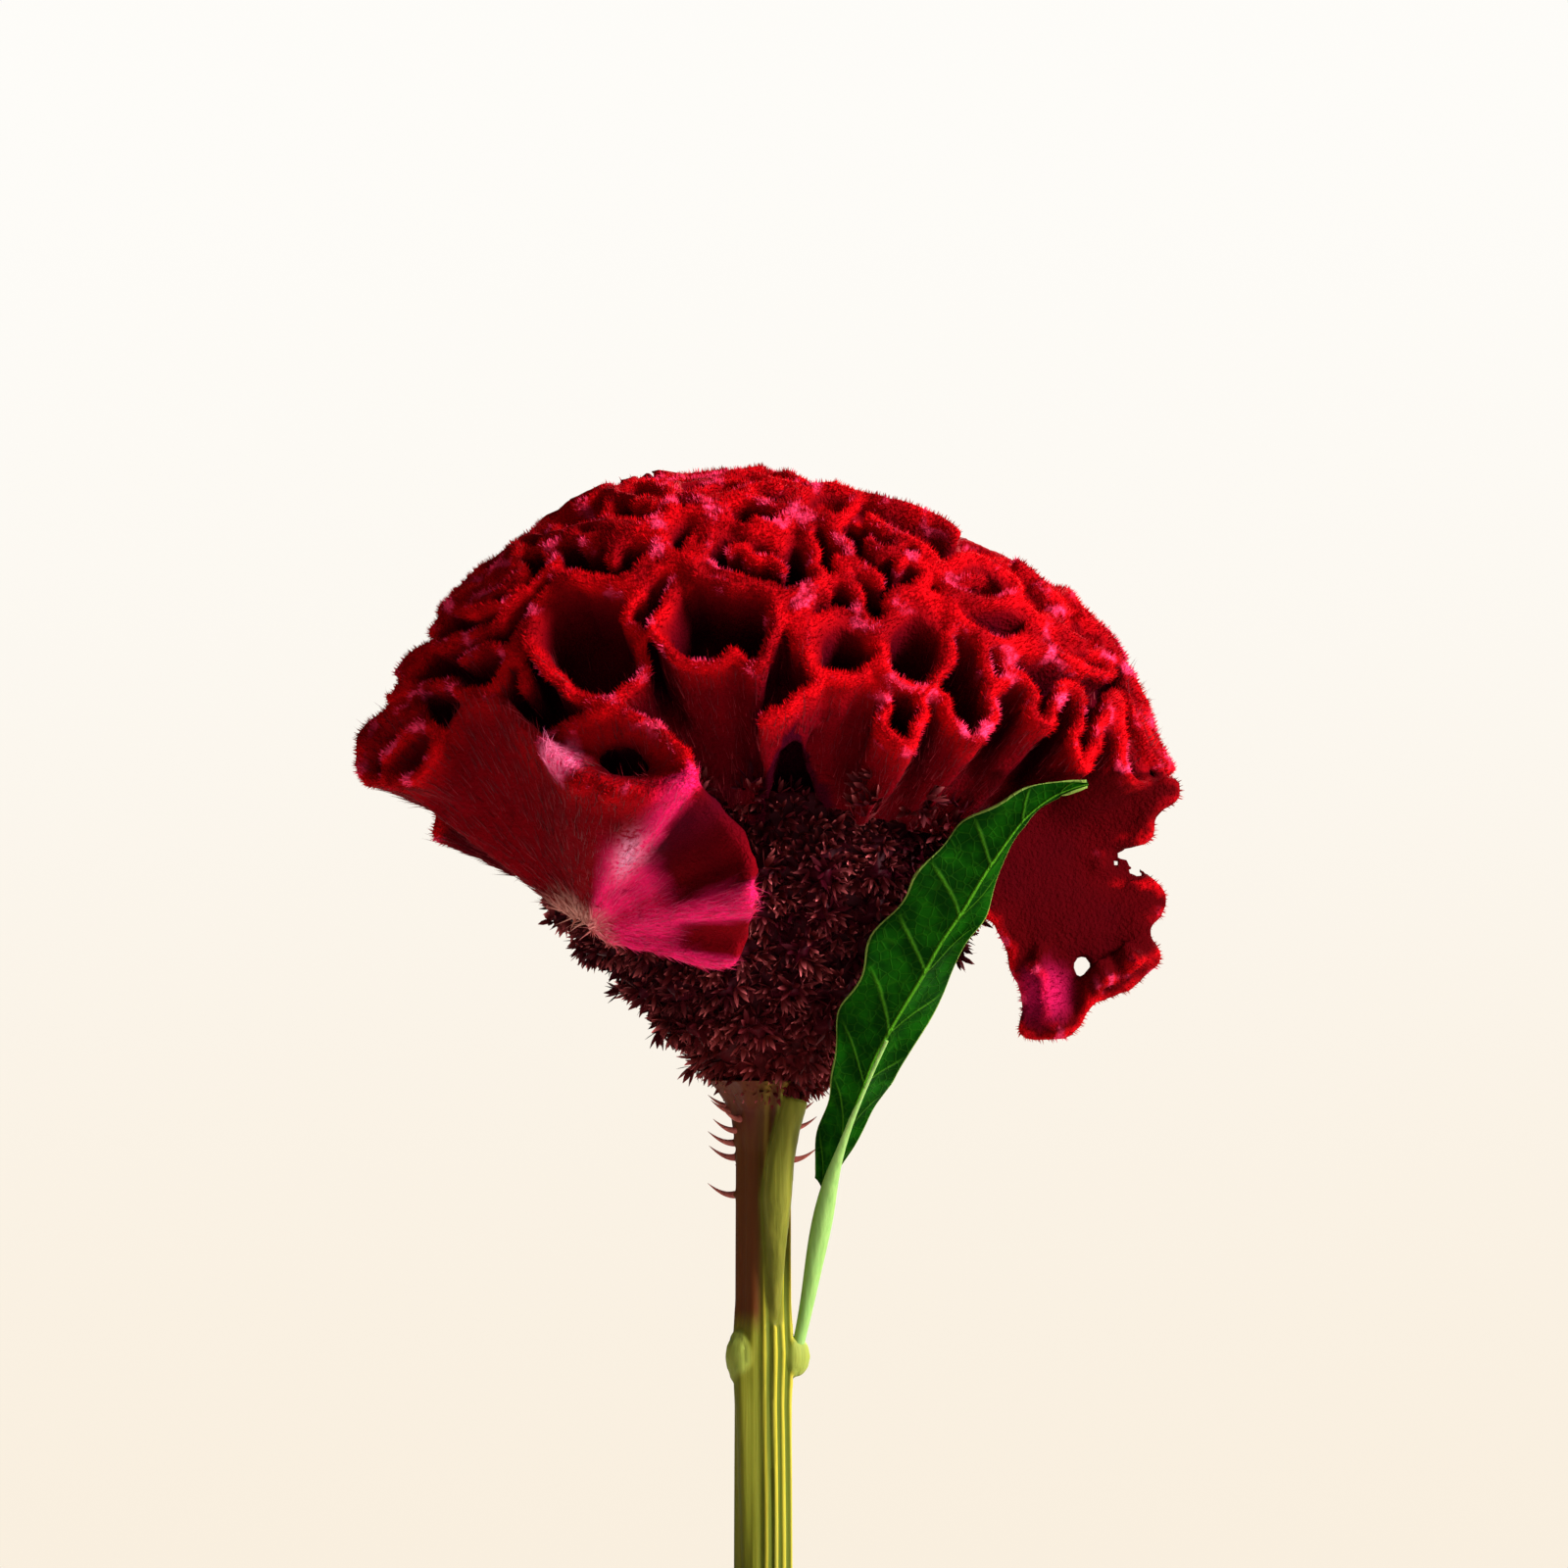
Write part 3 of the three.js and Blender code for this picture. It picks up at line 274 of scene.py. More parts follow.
turning = bmesh.new()
bmesh.ops.create_grid(turning, x_segments=len(POT_PROFILE) - 1, y_segments=1, size=0.5)
turning.verts.ensure_lookup_table()
section = sorted((vert for vert in turning.verts if vert.co.y < 0), key=lambda vert: vert.co.x)
for vert, (radius, height) in zip(section, POT_PROFILE):
    vert.co = (radius * MM, 0, height * MM)
bmesh.ops.delete(turning, geom=[vert for vert in turning.verts if vert not in section],
                 context="VERTS")
bmesh.ops.spin(turning, geom=turning.verts[:] + turning.edges[:], axis=(0, 0, 1),
               cent=(0, 0, 0), steps=POT_TURNS, angle=2 * math.pi, use_merge=True)
bmesh.ops.remove_doubles(turning, verts=turning.verts, dist=0.02 * MM)
bmesh.ops.recalc_face_normals(turning, faces=turning.faces)
pot = shaped("pot_body", turning)
drilling = bmesh.new()
for number in range(3):
    turn = math.pi / 2 + 2 * math.pi * number / 3
    bmesh.ops.create_cone(
        drilling, cap_ends=True, segments=32, radius1=DRAIN_RADIUS, radius2=DRAIN_RADIUS,
        depth=30 * MM, matrix=Matrix.Translation(
            (DRAIN_RING * math.cos(turn), DRAIN_RING * math.sin(turn), 0)))
drill = shaped("drill", drilling)
modify(pot, "BOOLEAN", operation="DIFFERENCE", object=drill, solver="EXACT")
settle(pot)
bpy.data.objects.remove(drill)
pot.data.shade_smooth()
pot.data.set_sharp_from_angle(angle=math.radians(50))
pot.data.materials.append(clay.material)
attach(pot, "root")
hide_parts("pot")


# Soil: dark moist potting mix, loose on top, with crumbs of peat and a few pale grains.
# It is poured in round the stem and pressed down lightly.
def copy_of(node, name):
    """A welded copy of a solid, to be worked over."""
    work = bmesh.new()
    work.from_mesh(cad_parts[node].data)
    bmesh.ops.remove_doubles(work, verts=work.verts, dist=0.01 * MM)
    return shaped(name, work)


def clouds_of(name, size, depth=2, colour=False):
    pattern = bpy.data.textures.new(name, "CLOUDS")
    pattern.noise_scale, pattern.noise_depth = size, depth
    pattern.cloud_type = "COLOR" if colour else "GRAYSCALE"
    return pattern


def points_of(mesh, what="co"):
    flat = np.zeros(len(mesh.vertices) * 3, np.float32)
    source = mesh.vertices if what == "co" else mesh.vertex_normals
    source.foreach_get("co" if what == "co" else "vector", flat)
    return flat.reshape(-1, 3)


def mark(mesh, name, values):
    """Keeps a number or a vector for each point of a mesh, for nodes to read."""
    kind = "FLOAT" if values.ndim == 1 else "FLOAT_VECTOR"
    layer = mesh.attributes.new(name, kind, "POINT")
    layer.data.foreach_set("value" if values.ndim == 1 else "vector",
                           values.astype(np.float32).ravel())


def strew(name, ground, tuft, density, growth, grain, seed, sizes, ruffled=0.3, spacing=None):
    """Copies of a tuft that grow from a ground: as thickly as its growth mark says, along its
    grain mark, each with a shade of its own."""
    group = bpy.data.node_groups.new(name, "GeometryNodeTree")
    for way in ("INPUT", "OUTPUT"):
        group.interface.new_socket("Geometry", in_out=way, socket_type="NodeSocketGeometry")
    nodes = Nodes(group)
    base = nodes.add("NodeGroupInput")

    def drawn(low, high, offset, kind="FLOAT"):
        first = 0 if kind == "FLOAT_VECTOR" else 2
        return nodes.add("FunctionNodeRandomValue", {"data_type": kind}, {
            first: low, first + 1: high, "Seed": seed + offset}, 0 if first == 0 else 1)

    amount = nodes.add("GeometryNodeInputNamedAttribute", {"data_type": "FLOAT"}, {"Name": growth})
    if spacing:
        points = nodes.add(
            "GeometryNodeDistributePointsOnFaces", {"distribute_method": "POISSON"}, {
                "Mesh": base, "Distance Min": spacing, "Density Max": density,
                "Density Factor": amount, "Seed": seed})
    else:
        points = nodes.add("GeometryNodeDistributePointsOnFaces", None, {
            "Mesh": base, "Density": amount * density, "Seed": seed})
    points = nodes.add(
        "GeometryNodeStoreNamedAttribute", {"data_type": "FLOAT", "domain": "POINT"},
        {"Geometry": points, "Name": "shade", "Value": drawn(0.0, 1.0, 3)})
    along = nodes.add("GeometryNodeInputNamedAttribute", {"data_type": "FLOAT_VECTOR"},
                      {"Name": grain})
    stray = drawn((-ruffled,) * 3, (ruffled,) * 3, 1, "FLOAT_VECTOR")
    aim = nodes.add("ShaderNodeVectorMath", {"operation": "ADD"}, {0: along, 1: stray})
    turn = nodes.add("FunctionNodeAxisAngleToRotation", None, {
        "Axis": (0, 0, 1), "Angle": drawn(0.0, 2 * math.pi, 2)})
    facing = nodes.add("FunctionNodeAlignRotationToVector", {"axis": "Z"}, {
        "Rotation": turn, "Vector": aim})
    copies = nodes.add("GeometryNodeInstanceOnPoints", None, {
        "Points": points, "Instance": nodes.add("GeometryNodeObjectInfo", None, {
            "Object": tuft}, "Geometry"),
        "Rotation": facing, "Scale": drawn(sizes[0], sizes[1], 4)})
    real = nodes.add("GeometryNodeRealizeInstances", None, {0: copies})
    nodes.add("NodeGroupOutput", None, {0: real})
    piece = placed(name, ground.data)
    modify(piece, "NODES", node_group=group)
    return settle(piece)


SOIL_DARK = (0.012, 0.007, 0.004)
SOIL_BROWN = (0.05, 0.026, 0.014)
SOIL_PALE = (0.16, 0.11, 0.07)
SOIL_TOP = 100 * MM

earth = Finish("soil")
lumps = earth.noise(1.6 * MM, 5)
earth.surface({"Base Color": earth.ramp(lumps, [
    (0.3, SOIL_DARK), (0.6, SOIL_BROWN), (0.72, SOIL_PALE)]), "Roughness": 0.8 + 0.15 * lumps})
earth.relief(lumps, 1.5 * MM)
soil = copy_of("soil", "soil_bed")
modify(soil, "REMESH", mode="VOXEL", voxel_size=1.3 * MM, use_smooth_shade=True)
modify(soil, "DISPLACE", texture=clouds_of("clods", 4 * MM), strength=1.6 * MM, mid_level=1.0,
       texture_coords="LOCAL")
settle(soil)
soil.data.materials.append(earth.material)
spots = points_of(soil.data)
upward = np.tile((0.0, 0.0, 1.0), (len(spots), 1))
mark(soil.data, "loose", np.where(spots[:, 2] > SOIL_TOP, 1.0, 0.0))
mark(soil.data, "up", upward)

crumb_shape = bmesh.new()
bmesh.ops.create_icosphere(crumb_shape, subdivisions=1, radius=1.0)
bmesh.ops.scale(crumb_shape, verts=crumb_shape.verts, vec=(1.0, 0.75, 0.6))
crumb = shaped("crumb", crumb_shape)
peat = Finish("soil_crumbs")
shade = peat.attribute("shade")
peat.surface({"Base Color": peat.ramp(shade, [
    (0.0, SOIL_DARK), (0.8, SOIL_BROWN), (0.95, SOIL_PALE)]), "Roughness": 0.75 + 0.2 * shade})
peat.relief(peat.noise(0.4 * MM), 0.2 * MM)
crumb.data.materials.append(peat.material)
crumbs = strew("soil_crumbs", soil, crumb, 2.4e5, "loose", "up", 7, (0.35 * MM, 1.3 * MM), 1.5)
for piece in (soil, crumbs):
    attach(piece, "root")
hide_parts("soil")

# Stem: a juicy ribbed stalk, brownish red at the top and green with yellow ribs below. It
# carries a cut leaf stalk, two knuckles where leaves grew, and small pink bracts.
PIXEL = 0.15 * MM
VIEW_CENTRE, VIEW_BASE, VIEW_FOOT = 787.5, 1600, 150 * MM
STEM_RED = (0.080, 0.009, 0.001)
STEM_WINE = (0.080, 0.004, 0.006)
STEM_GREEN = (0.10, 0.125, 0.006)
STEM_RIB = (0.46, 0.40, 0.03)
STEM_PALE = (0.34, 0.34, 0.05)
STEM_SMOOTH = (0.17, 0.17, 0.010)
SCALE_GREEN = (0.085, 0.085, 0.002)
KNOT_GREEN = (0.30, 0.36, 0.06)
BRACT_PINK = (0.62, 0.17, 0.14)
STEM_AXIS_X = -1.4 * MM
RIB_COUNT = 17
RIB_DEPTH = 0.28 * MM
# The cut stalk's line in the photograph's view with its depth in mm, and its radii in mm.
CUT_STALK = [(791, 1345, -3.6), (792, 1290, -4.4), (793, 1220, -5.2), (800, 1165, -5.8),
             (813, 1120, -6.4)]
CUT_RADII = [0.9, 1.5, 2.5, 2.2, 2.0]
# Each knuckle's place, its depth and its radius in mm. Each bract's height and its bearing.
KNUCKLES = [(757, 1384, -2.2, 2.3), (812, 1384, -0.5, 1.9)]
BRACTS = [(1133, 200), (1165, 185), (1180, 168), (1218, 182), (1150, 8), (1182, -8), (1140, 95),
          (1170, 60), (1200, 120), (1140, 222), (1152, 206), (1128, 176), (1134, 340)]


def seen_at(right, down, depth):
    return ((right - VIEW_CENTRE) * PIXEL, depth * MM, VIEW_FOOT + (VIEW_BASE - down) * PIXEL)


def through(rows, share):
    """A smooth curve through rows of points, read at a share of its way."""
    place = np.clip(share, 0, 1) * (len(rows) - 1)
    i = np.minimum(place.astype(int), len(rows) - 2)
    t = (place - i)[..., None]
    p0, p1 = rows[np.maximum(i - 1, 0)], rows[i]
    p2, p3 = rows[i + 1], rows[np.minimum(i + 2, len(rows) - 1)]
    return 0.5 * (2 * p1 + (p2 - p0) * t + (2 * p0 - 5 * p1 + 4 * p2 - p3) * t ** 2
                  + (3 * p1 - p0 - 3 * p2 + p3) * t ** 3)


def smooth_step(value, low, high):
    share = np.clip((value - low) / (high - low), 0, 1)
    return share * share * (3 - 2 * share)


def stalk(name, points, radii, finish):
    """A tapered stalk along a line."""
    line = bpy.data.curves.new(name, "CURVE")
    line.dimensions, line.bevel_depth, line.bevel_resolution = "3D", 1.0, 5
    line.use_fill_caps = True
    spline = line.splines.new("NURBS")
    spline.points.add(len(points) - 1)
    for point, place, radius in zip(spline.points, points, radii):
        point.co, point.radius = (*place, 1), radius
    spline.use_endpoint_u, spline.order_u, spline.resolution_u = True, 4, 10
    piece = placed(name, bpy.data.meshes.new(name))
    bent = placed(name + "_line", line)
    bpy.context.view_layer.update()
    graph = bpy.context.evaluated_depsgraph_get()
    piece.data = bpy.data.meshes.new_from_object(bent.evaluated_get(graph))
    bpy.data.objects.remove(bent)
    piece.data.shade_smooth()
    piece.data.materials.clear()
    piece.data.materials.append(finish.material)
    return piece


def biggest_part(piece):
    """Leaves only the largest connected part of a mesh."""
    work = bmesh.new()
    work.from_mesh(piece.data)
    left, largest = set(work.verts), set()
    while left:
        part = edge = {left.pop()}
        while edge:
            edge = {link.other_vert(vert) for vert in edge for link in vert.link_edges} - part
            part = part | edge
        left -= part
        largest = max(largest, part, key=len)
    bmesh.ops.delete(work, geom=[vert for vert in work.verts if vert not in largest],
                     context="VERTS")
    work.to_mesh(piece.data)
    work.free()


stem = copy_of("stem", "stem_stalk")
modify(stem, "REMESH", mode="VOXEL", voxel_size=0.34 * MM, use_smooth_shade=True)
modify(stem, "SMOOTH", factor=0.5, iterations=8)
settle(stem)
biggest_part(stem)
spots, outward = points_of(stem.data), points_of(stem.data, "normal")
knot = np.zeros(len(spots))
for right, down, depth, size in KNUCKLES:
    off_knot = np.linalg.norm((spots - seen_at(right, down, depth)) / (1, 1, 1.5), axis=1)
    knot = np.maximum(knot, 1 - smooth_step(off_knot, size * 1.05 * MM, size * 1.35 * MM))
shares = np.linspace(0, 1, 60)
cut_line = through(np.array([seen_at(*place) for place in CUT_STALK]), shares)
cut_radii = np.interp(shares, np.linspace(0, 1, len(CUT_RADII)), CUT_RADII) * MM
off_cut = np.min(np.linalg.norm(spots[:, None] - cut_line, axis=2) - cut_radii, axis=1)
scale = 1 - smooth_step(off_cut, 0.1 * MM, 0.6 * MM)
leftward = 1 - smooth_step(spots[:, 0], -2.4 * MM, -0.8 * MM)
plain = np.maximum.reduce([leftward, knot, scale])
turn = np.arctan2(spots[:, 1], spots[:, 0] - STEM_AXIS_X)
ribs = np.cos(RIB_COUNT * turn + 0.6 * np.sin(spots[:, 2] / (9 * MM))) * (1 - 0.85 * plain)
sideways = 1 - np.abs(outward[:, 2])
spots += outward * (ribs * sideways * RIB_DEPTH + (0.5 * knot - 0.1) * MM)[:, None]
stem.data.vertices.foreach_set("co", spots.ravel())
red = leftward * smooth_step(spots[:, 2], 185 * MM, 190 * MM)
red = np.maximum(red, 0.85 * smooth_step(spots[:, 2], 192 * MM, 214 * MM))
for name, values in {
        "rib": 0.5 + 0.5 * ribs, "plain": leftward, "knot": knot, "scale": scale,
        "red": red * (1 - scale) * (1 - knot)}.items():
    mark(stem.data, name, values)

bark = Finish("stem")
rib = bark.attribute("rib")
streaks = bark.noise(1.0 * MM, 5, (1, 1, 0.03))
low = bark.mix(bark.span(rib + (streaks - 0.5), 0.45, 0.95), STEM_GREEN, STEM_RIB)
pale = bark.mix(bark.span(streaks, 0.5, 0.75) * 0.7, low, STEM_PALE)
smoothed = bark.mix(bark.attribute("plain") * 0.75, pale, STEM_SMOOTH)
wine = bark.mix(bark.span(bark.height(), 215 * MM, 221 * MM), STEM_RED, STEM_WINE)
reddish = bark.mix(rib * streaks * 0.15, wine, STEM_RIB)
red_stem = bark.mix(bark.attribute("red") * bark.span(streaks, -0.2, 0.3), smoothed, reddish)
scaled = bark.mix(bark.attribute("scale") * 0.85, red_stem,
                  bark.mix(streaks * 0.5, SCALE_GREEN, STEM_PALE))
bark.surface({
    "Base Color": bark.mix(bark.attribute("knot") * 0.8, scaled, KNOT_GREEN),
    "Roughness": 0.46 + 0.2 * streaks, "Specular IOR Level": 0.15,
    "Subsurface Weight": 0.12, "Subsurface Scale": 1.5 * MM})
bark.relief(streaks, 0.25 * MM)
stem.data.materials.append(bark.material)
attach(stem, "root")
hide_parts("stem")

papery = Finish("stem_bracts")
papery.surface({
    "Base Color": papery.mix(papery.noise(1.2 * MM), BRACT_PINK, STEM_WINE),
    "Roughness": 0.5 + 0.2 * papery.noise(0.6 * MM), "Specular IOR Level": 0.1})
for number, (down, bearing) in enumerate(BRACTS, 1):
    turn = math.radians(bearing)
    outward = np.array((math.cos(turn), math.sin(turn), 0.0))
    foot = np.array((STEM_AXIS_X, 0, VIEW_FOOT + (VIEW_BASE - down) * PIXEL))
    rise = np.array((0, 0, MM))
    bract = stalk(f"stem_bract_{number}", [
        foot + outward * 3.4 * MM, foot + outward * 5.2 * MM - 0.5 * rise,
        foot + outward * 6.6 * MM + 0.1 * rise, foot + outward * 8.4 * MM + 1.6 * rise],
        [0.7 * MM, 0.5 * MM, 0.28 * MM, 0.03 * MM], papery)
    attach(bract, "root")

# Upper leaf: a long wavy blade on a pale stalk, folded a little along its midrib. The blade is
# dark green and glossy, with raised yellow-green veins and a thin pale margin.
LEAF_GREEN = (0.001, 0.022, 0.0005)
LEAF_LIGHT = (0.004, 0.062, 0.001)
LEAF_VEIN = (0.065, 0.25, 0.010)
LEAF_EDGE = (0.28, 0.42, 0.08)
LEAF_THICKNESS = 0.5 * MM
LEAF_LOBES = 0.07
VEIN_PAIRS = 9

# Midrib, left edge and right edge in steps of the photograph's view, then their depths in mm.
UPPER_LEAF = [
    ((840, 1212), (832, 1200), (848, 1204), (-5.6, -5.2, -5.2)),
    ((851, 1180), (833, 1162), (864, 1178), (-8.6, -8.6, -6.6)),
    ((866, 1143), (845, 1122), (884, 1140), (-11.6, -12.4, -8.6)),
    ((880, 1108), (848, 1088), (903, 1114), (-14.6, -15.4, -11.2)),
    ((892, 1078), (854, 1052), (917, 1090), (-16.8, -17.4, -12.6)),
    ((914, 1038), (864, 1015), (938, 1050), (-19.4, -20.2, -15.6)),
    ((938, 998), (880, 978), (964, 1012), (-22.2, -23.2, -17.8)),
    ((958, 962), (897, 946), (984, 957), (-24.8, -25.6, -23.4)),
    ((982, 926), (922, 910), (1007, 926), (-27.2, -28.0, -24.8)),
    ((1002, 892), (943, 877), (1016, 893), (-29.4, -30.2, -26.8)),
    ((1022, 862), (972, 849), (1030, 856), (-31.4, -32.0, -29.0)),
    ((1043, 834), (1004, 825), (1048, 832), (-33.0, -33.6, -31.2)),
    ((1068, 814), (1040, 804), (1070, 818), (-34.0, -34.4, -33.0)),
    ((1090, 804), (1078, 799), (1088, 808), (-34.6, -34.8, -34.2)),
    ((1106, 800), (1104, 797), (1105, 803), (-34.8, -34.9, -34.7)),
]


def blade(name, rib_line, west_line, east_line, waves, wave_height, finish, slices=(96, 24)):
    """A leaf blade from its midrib and its two margins, waved towards the margins."""
    work = bmesh.new()
    bmesh.ops.create_grid(work, x_segments=slices[0], y_segments=slices[1], size=1.0)
    uv_layer = work.loops.layers.uv.new("leaf")
    for face in work.faces:
        for loop in face.loops:
            loop[uv_layer].uv = (0.5 + 0.5 * loop.vert.co.x, 0.5 + 0.5 * loop.vert.co.y)
    flat = np.array([tuple(v.co) for v in work.verts])
    share, across = 0.5 + 0.5 * flat[:, 0], flat[:, 1]
    rib, west, east = (through(line, share) for line in (rib_line, west_line, east_line))
    side = np.abs(across)[:, None]
    lobes = np.sin(1.6 * waves * share + np.sin(7 * share) + 2 * np.sign(across))
    side *= 1 + LEAF_LOBES * side ** 3 * (lobes * np.sin(np.pi * share))[:, None]
    edge = np.where(across[:, None] < 0, west, east)
    spots = rib + (edge - rib) * side
    ahead = through(rib_line, share + 0.01) - through(rib_line, share - 0.01)
    upright = np.cross(ahead, east - west)
    upright /= np.linalg.norm(upright, axis=1)[:, None] + 1e-12
    swing = np.sin(waves * share + 1.3 * np.sign(across)) * wave_height * side[:, 0] ** 2
    vein = np.abs(np.mod(share * VEIN_PAIRS - 0.9 * side[:, 0] ** 0.8, 1.0) - 0.5) * 2
    quilt = 0.35 * MM * (1 - vein ** 4) * np.sin(np.pi * side[:, 0])
    spots += upright * (swing * np.sin(np.pi * share) ** 0.3 + quilt)[:, None]
    for vert, spot in zip(work.verts, spots):
        vert.co = spot
    piece = shaped(name, work)
    piece.data.shade_smooth()
    modify(piece, "SOLIDIFY", thickness=LEAF_THICKNESS, offset=0)
    settle(piece).data.materials.append(finish.material)
    return piece


leaf = Finish("leaf")
spot = leaf.add("ShaderNodeUVMap", {"uv_map": "leaf"})
lengthwise = leaf.add("ShaderNodeSeparateXYZ", None, {0: spot}, output="X")
crosswise = leaf.add("ShaderNodeSeparateXYZ", None, {0: spot}, output="Y") * 2 - 1
aside = crosswise.math("ABSOLUTE")
mottle = leaf.noise(3 * MM, 5)
branch = (lengthwise * VEIN_PAIRS - 0.9 * aside ** 0.8 + 0.06 * mottle).math("FRACT")
off_branch = (branch - 0.5).math("ABSOLUTE") * 2
branches = leaf.span(off_branch, 0.88, 0.99) * leaf.span(aside, 1.0, 0.55)
midrib = 1 - leaf.span(aside, 0.015, 0.06)
margin = leaf.span(aside, 0.97, 0.99)
net = leaf.add("ShaderNodeTexVoronoi", {"feature": "DISTANCE_TO_EDGE"}, {
    "Vector": leaf.place(), "Scale": 1 / (1.6 * MM)})
netting = 1 - leaf.span(net, 0.0, 0.10)
green = leaf.mix(leaf.span(mottle + off_branch * 0.2, 0.35, 0.75), LEAF_LIGHT, LEAF_GREEN)
netted = leaf.mix(netting * 0.07, green, LEAF_VEIN)
veined = leaf.mix(branches * 0.45, netted, LEAF_VEIN)
ribbed = leaf.mix(midrib * 0.9, veined, LEAF_VEIN)
leaf.surface({
    "Base Color": leaf.mix(margin * 0.7, ribbed, LEAF_EDGE),
    "Roughness": 0.46 + 0.25 * mottle, "Specular IOR Level": 0.015})
leaf.relief(branches * 0.6 + midrib + netting * 0.15 + mottle * 0.3, 0.5 * MM)

green_stalk = Finish("leaf_stalk")
strands = green_stalk.noise(0.7 * MM, 4, (1, 1, 0.06))
green_stalk.surface({
    "Base Color": green_stalk.mix(strands, (0.14, 0.33, 0.05), (0.31, 0.52, 0.13)),
    "Roughness": 0.45 + 0.2 * strands, "Subsurface Weight": 0.15, "Subsurface Scale": 1.0 * MM})
green_stalk.relief(strands, 0.2 * MM)

lines = [np.array([seen_at(*row[k], row[3][k]) for row in UPPER_LEAF]) for k in range(3)]
upper = blade("upper_leaf", lines[0], lines[1], lines[2], 30, 0.9 * MM, leaf)
upper_stalk = stalk("upper_leaf_stalk", [seen_at(*place) for place in (
    (813, 1378, -1.0), (822, 1340, -1.8), (830, 1290, -2.6), (841, 1235, -4.2),
    (852, 1180, -8.0), (878, 1114, -14.0), (904, 1060, -18.2))],
    [0.9 * MM, 1.0 * MM, 1.4 * MM, 1.8 * MM, 0.7 * MM, 0.4 * MM, 0.3 * MM], green_stalk)
for piece in (upper, upper_stalk):
    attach(piece, "root")
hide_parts("leaf_upper")

# Lower leaves: shorter blades in a loose ring just above the soil, each arched out and down on
# its own stalk. They grow from the stem as the upper one does.
LOWER_LEAF_COUNT = 6
STALK_REACH = 13 * MM

for number in range(1, LOWER_LEAF_COUNT + 1):
    low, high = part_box(f"leaf_lower_{number}")
    bearing = math.radians(25 + 60 * (number - 1))
    out = np.array((math.cos(bearing), math.sin(bearing), 0.0))
    side = np.array((-math.sin(bearing), math.cos(bearing), 0.0))
    corners = np.array([(x, y, 0.0) for x in (low.x, high.x) for y in (low.y, high.y)])
    reach = float(np.max(corners @ out)) - 3 * MM
    foot = low.z + 1.5 * MM
    start = np.array((-0.5 * MM, 0.0, foot))
    rows = np.linspace(0, 1, 12)
    rib_line = np.array([start + out * (STALK_REACH + (reach - STALK_REACH) * t)
                         + np.array((0, 0, (9 + 6 * t - 16 * t * t) * MM)) for t in rows])
    half = (0.5 + 10 * np.sin(np.pi * rows ** 0.75) ** 0.9) * MM
    lift = np.outer(half, (0.0, 0.0, 0.2))
    west_line = rib_line - np.outer(half, side) + lift
    east_line = rib_line + np.outer(half, side) + lift
    low_blade = blade(f"lower_leaf_{number}", rib_line, west_line, east_line,
                      26 + number, 1.0 * MM, leaf, (48, 16))
    low_stalk = stalk(f"lower_leaf_stalk_{number}", [
        tuple(start + out * r * MM + np.array((0, 0, z * MM)))
        for r, z in ((3.6, 0.4), (7, 5), (13, 8.6), (24, 9.4))],
        [1.4 * MM, 1.2 * MM, 0.9 * MM, 0.4 * MM], green_stalk)
    for piece in (low_blade, low_stalk):
        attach(piece, "root")
    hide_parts(f"leaf_lower_{number}")

# Crest: one sheet of velvet that grew wider than it could lie flat, and so folded into cups,
# rings and lips. Its rims are rolled and bright red, partly from a painted highlight, and painted
# shade makes its depths nearly black. The sheet is built fold by fold over a slimmer copy of the
# solid, and then grown together.
CREST_FOCUS = np.array((0, 0, 232)) * MM
FAN_ROOT = np.array((-28.1, -11, 247.8)) * MM
DOME = np.array((61, 40, 57)) * MM
DOME_FOOT = 262 * MM
BAND_STEP = 0.9 * MM
BAND_RIM = 0.9 * MM
BAND_HALF = 0.7 * MM
BAND_FLARE = 1.1 * MM
WAVE_PITCH = 1.0 * MM
CORE_SLIM = 1.1 * MM
RIM_WAVE = 0.45 * MM
VOXEL = 0.6 * MM
CREST_KEPT = 0.32
OPEN_RAYS = 14
OPEN_REACH = 22 * MM

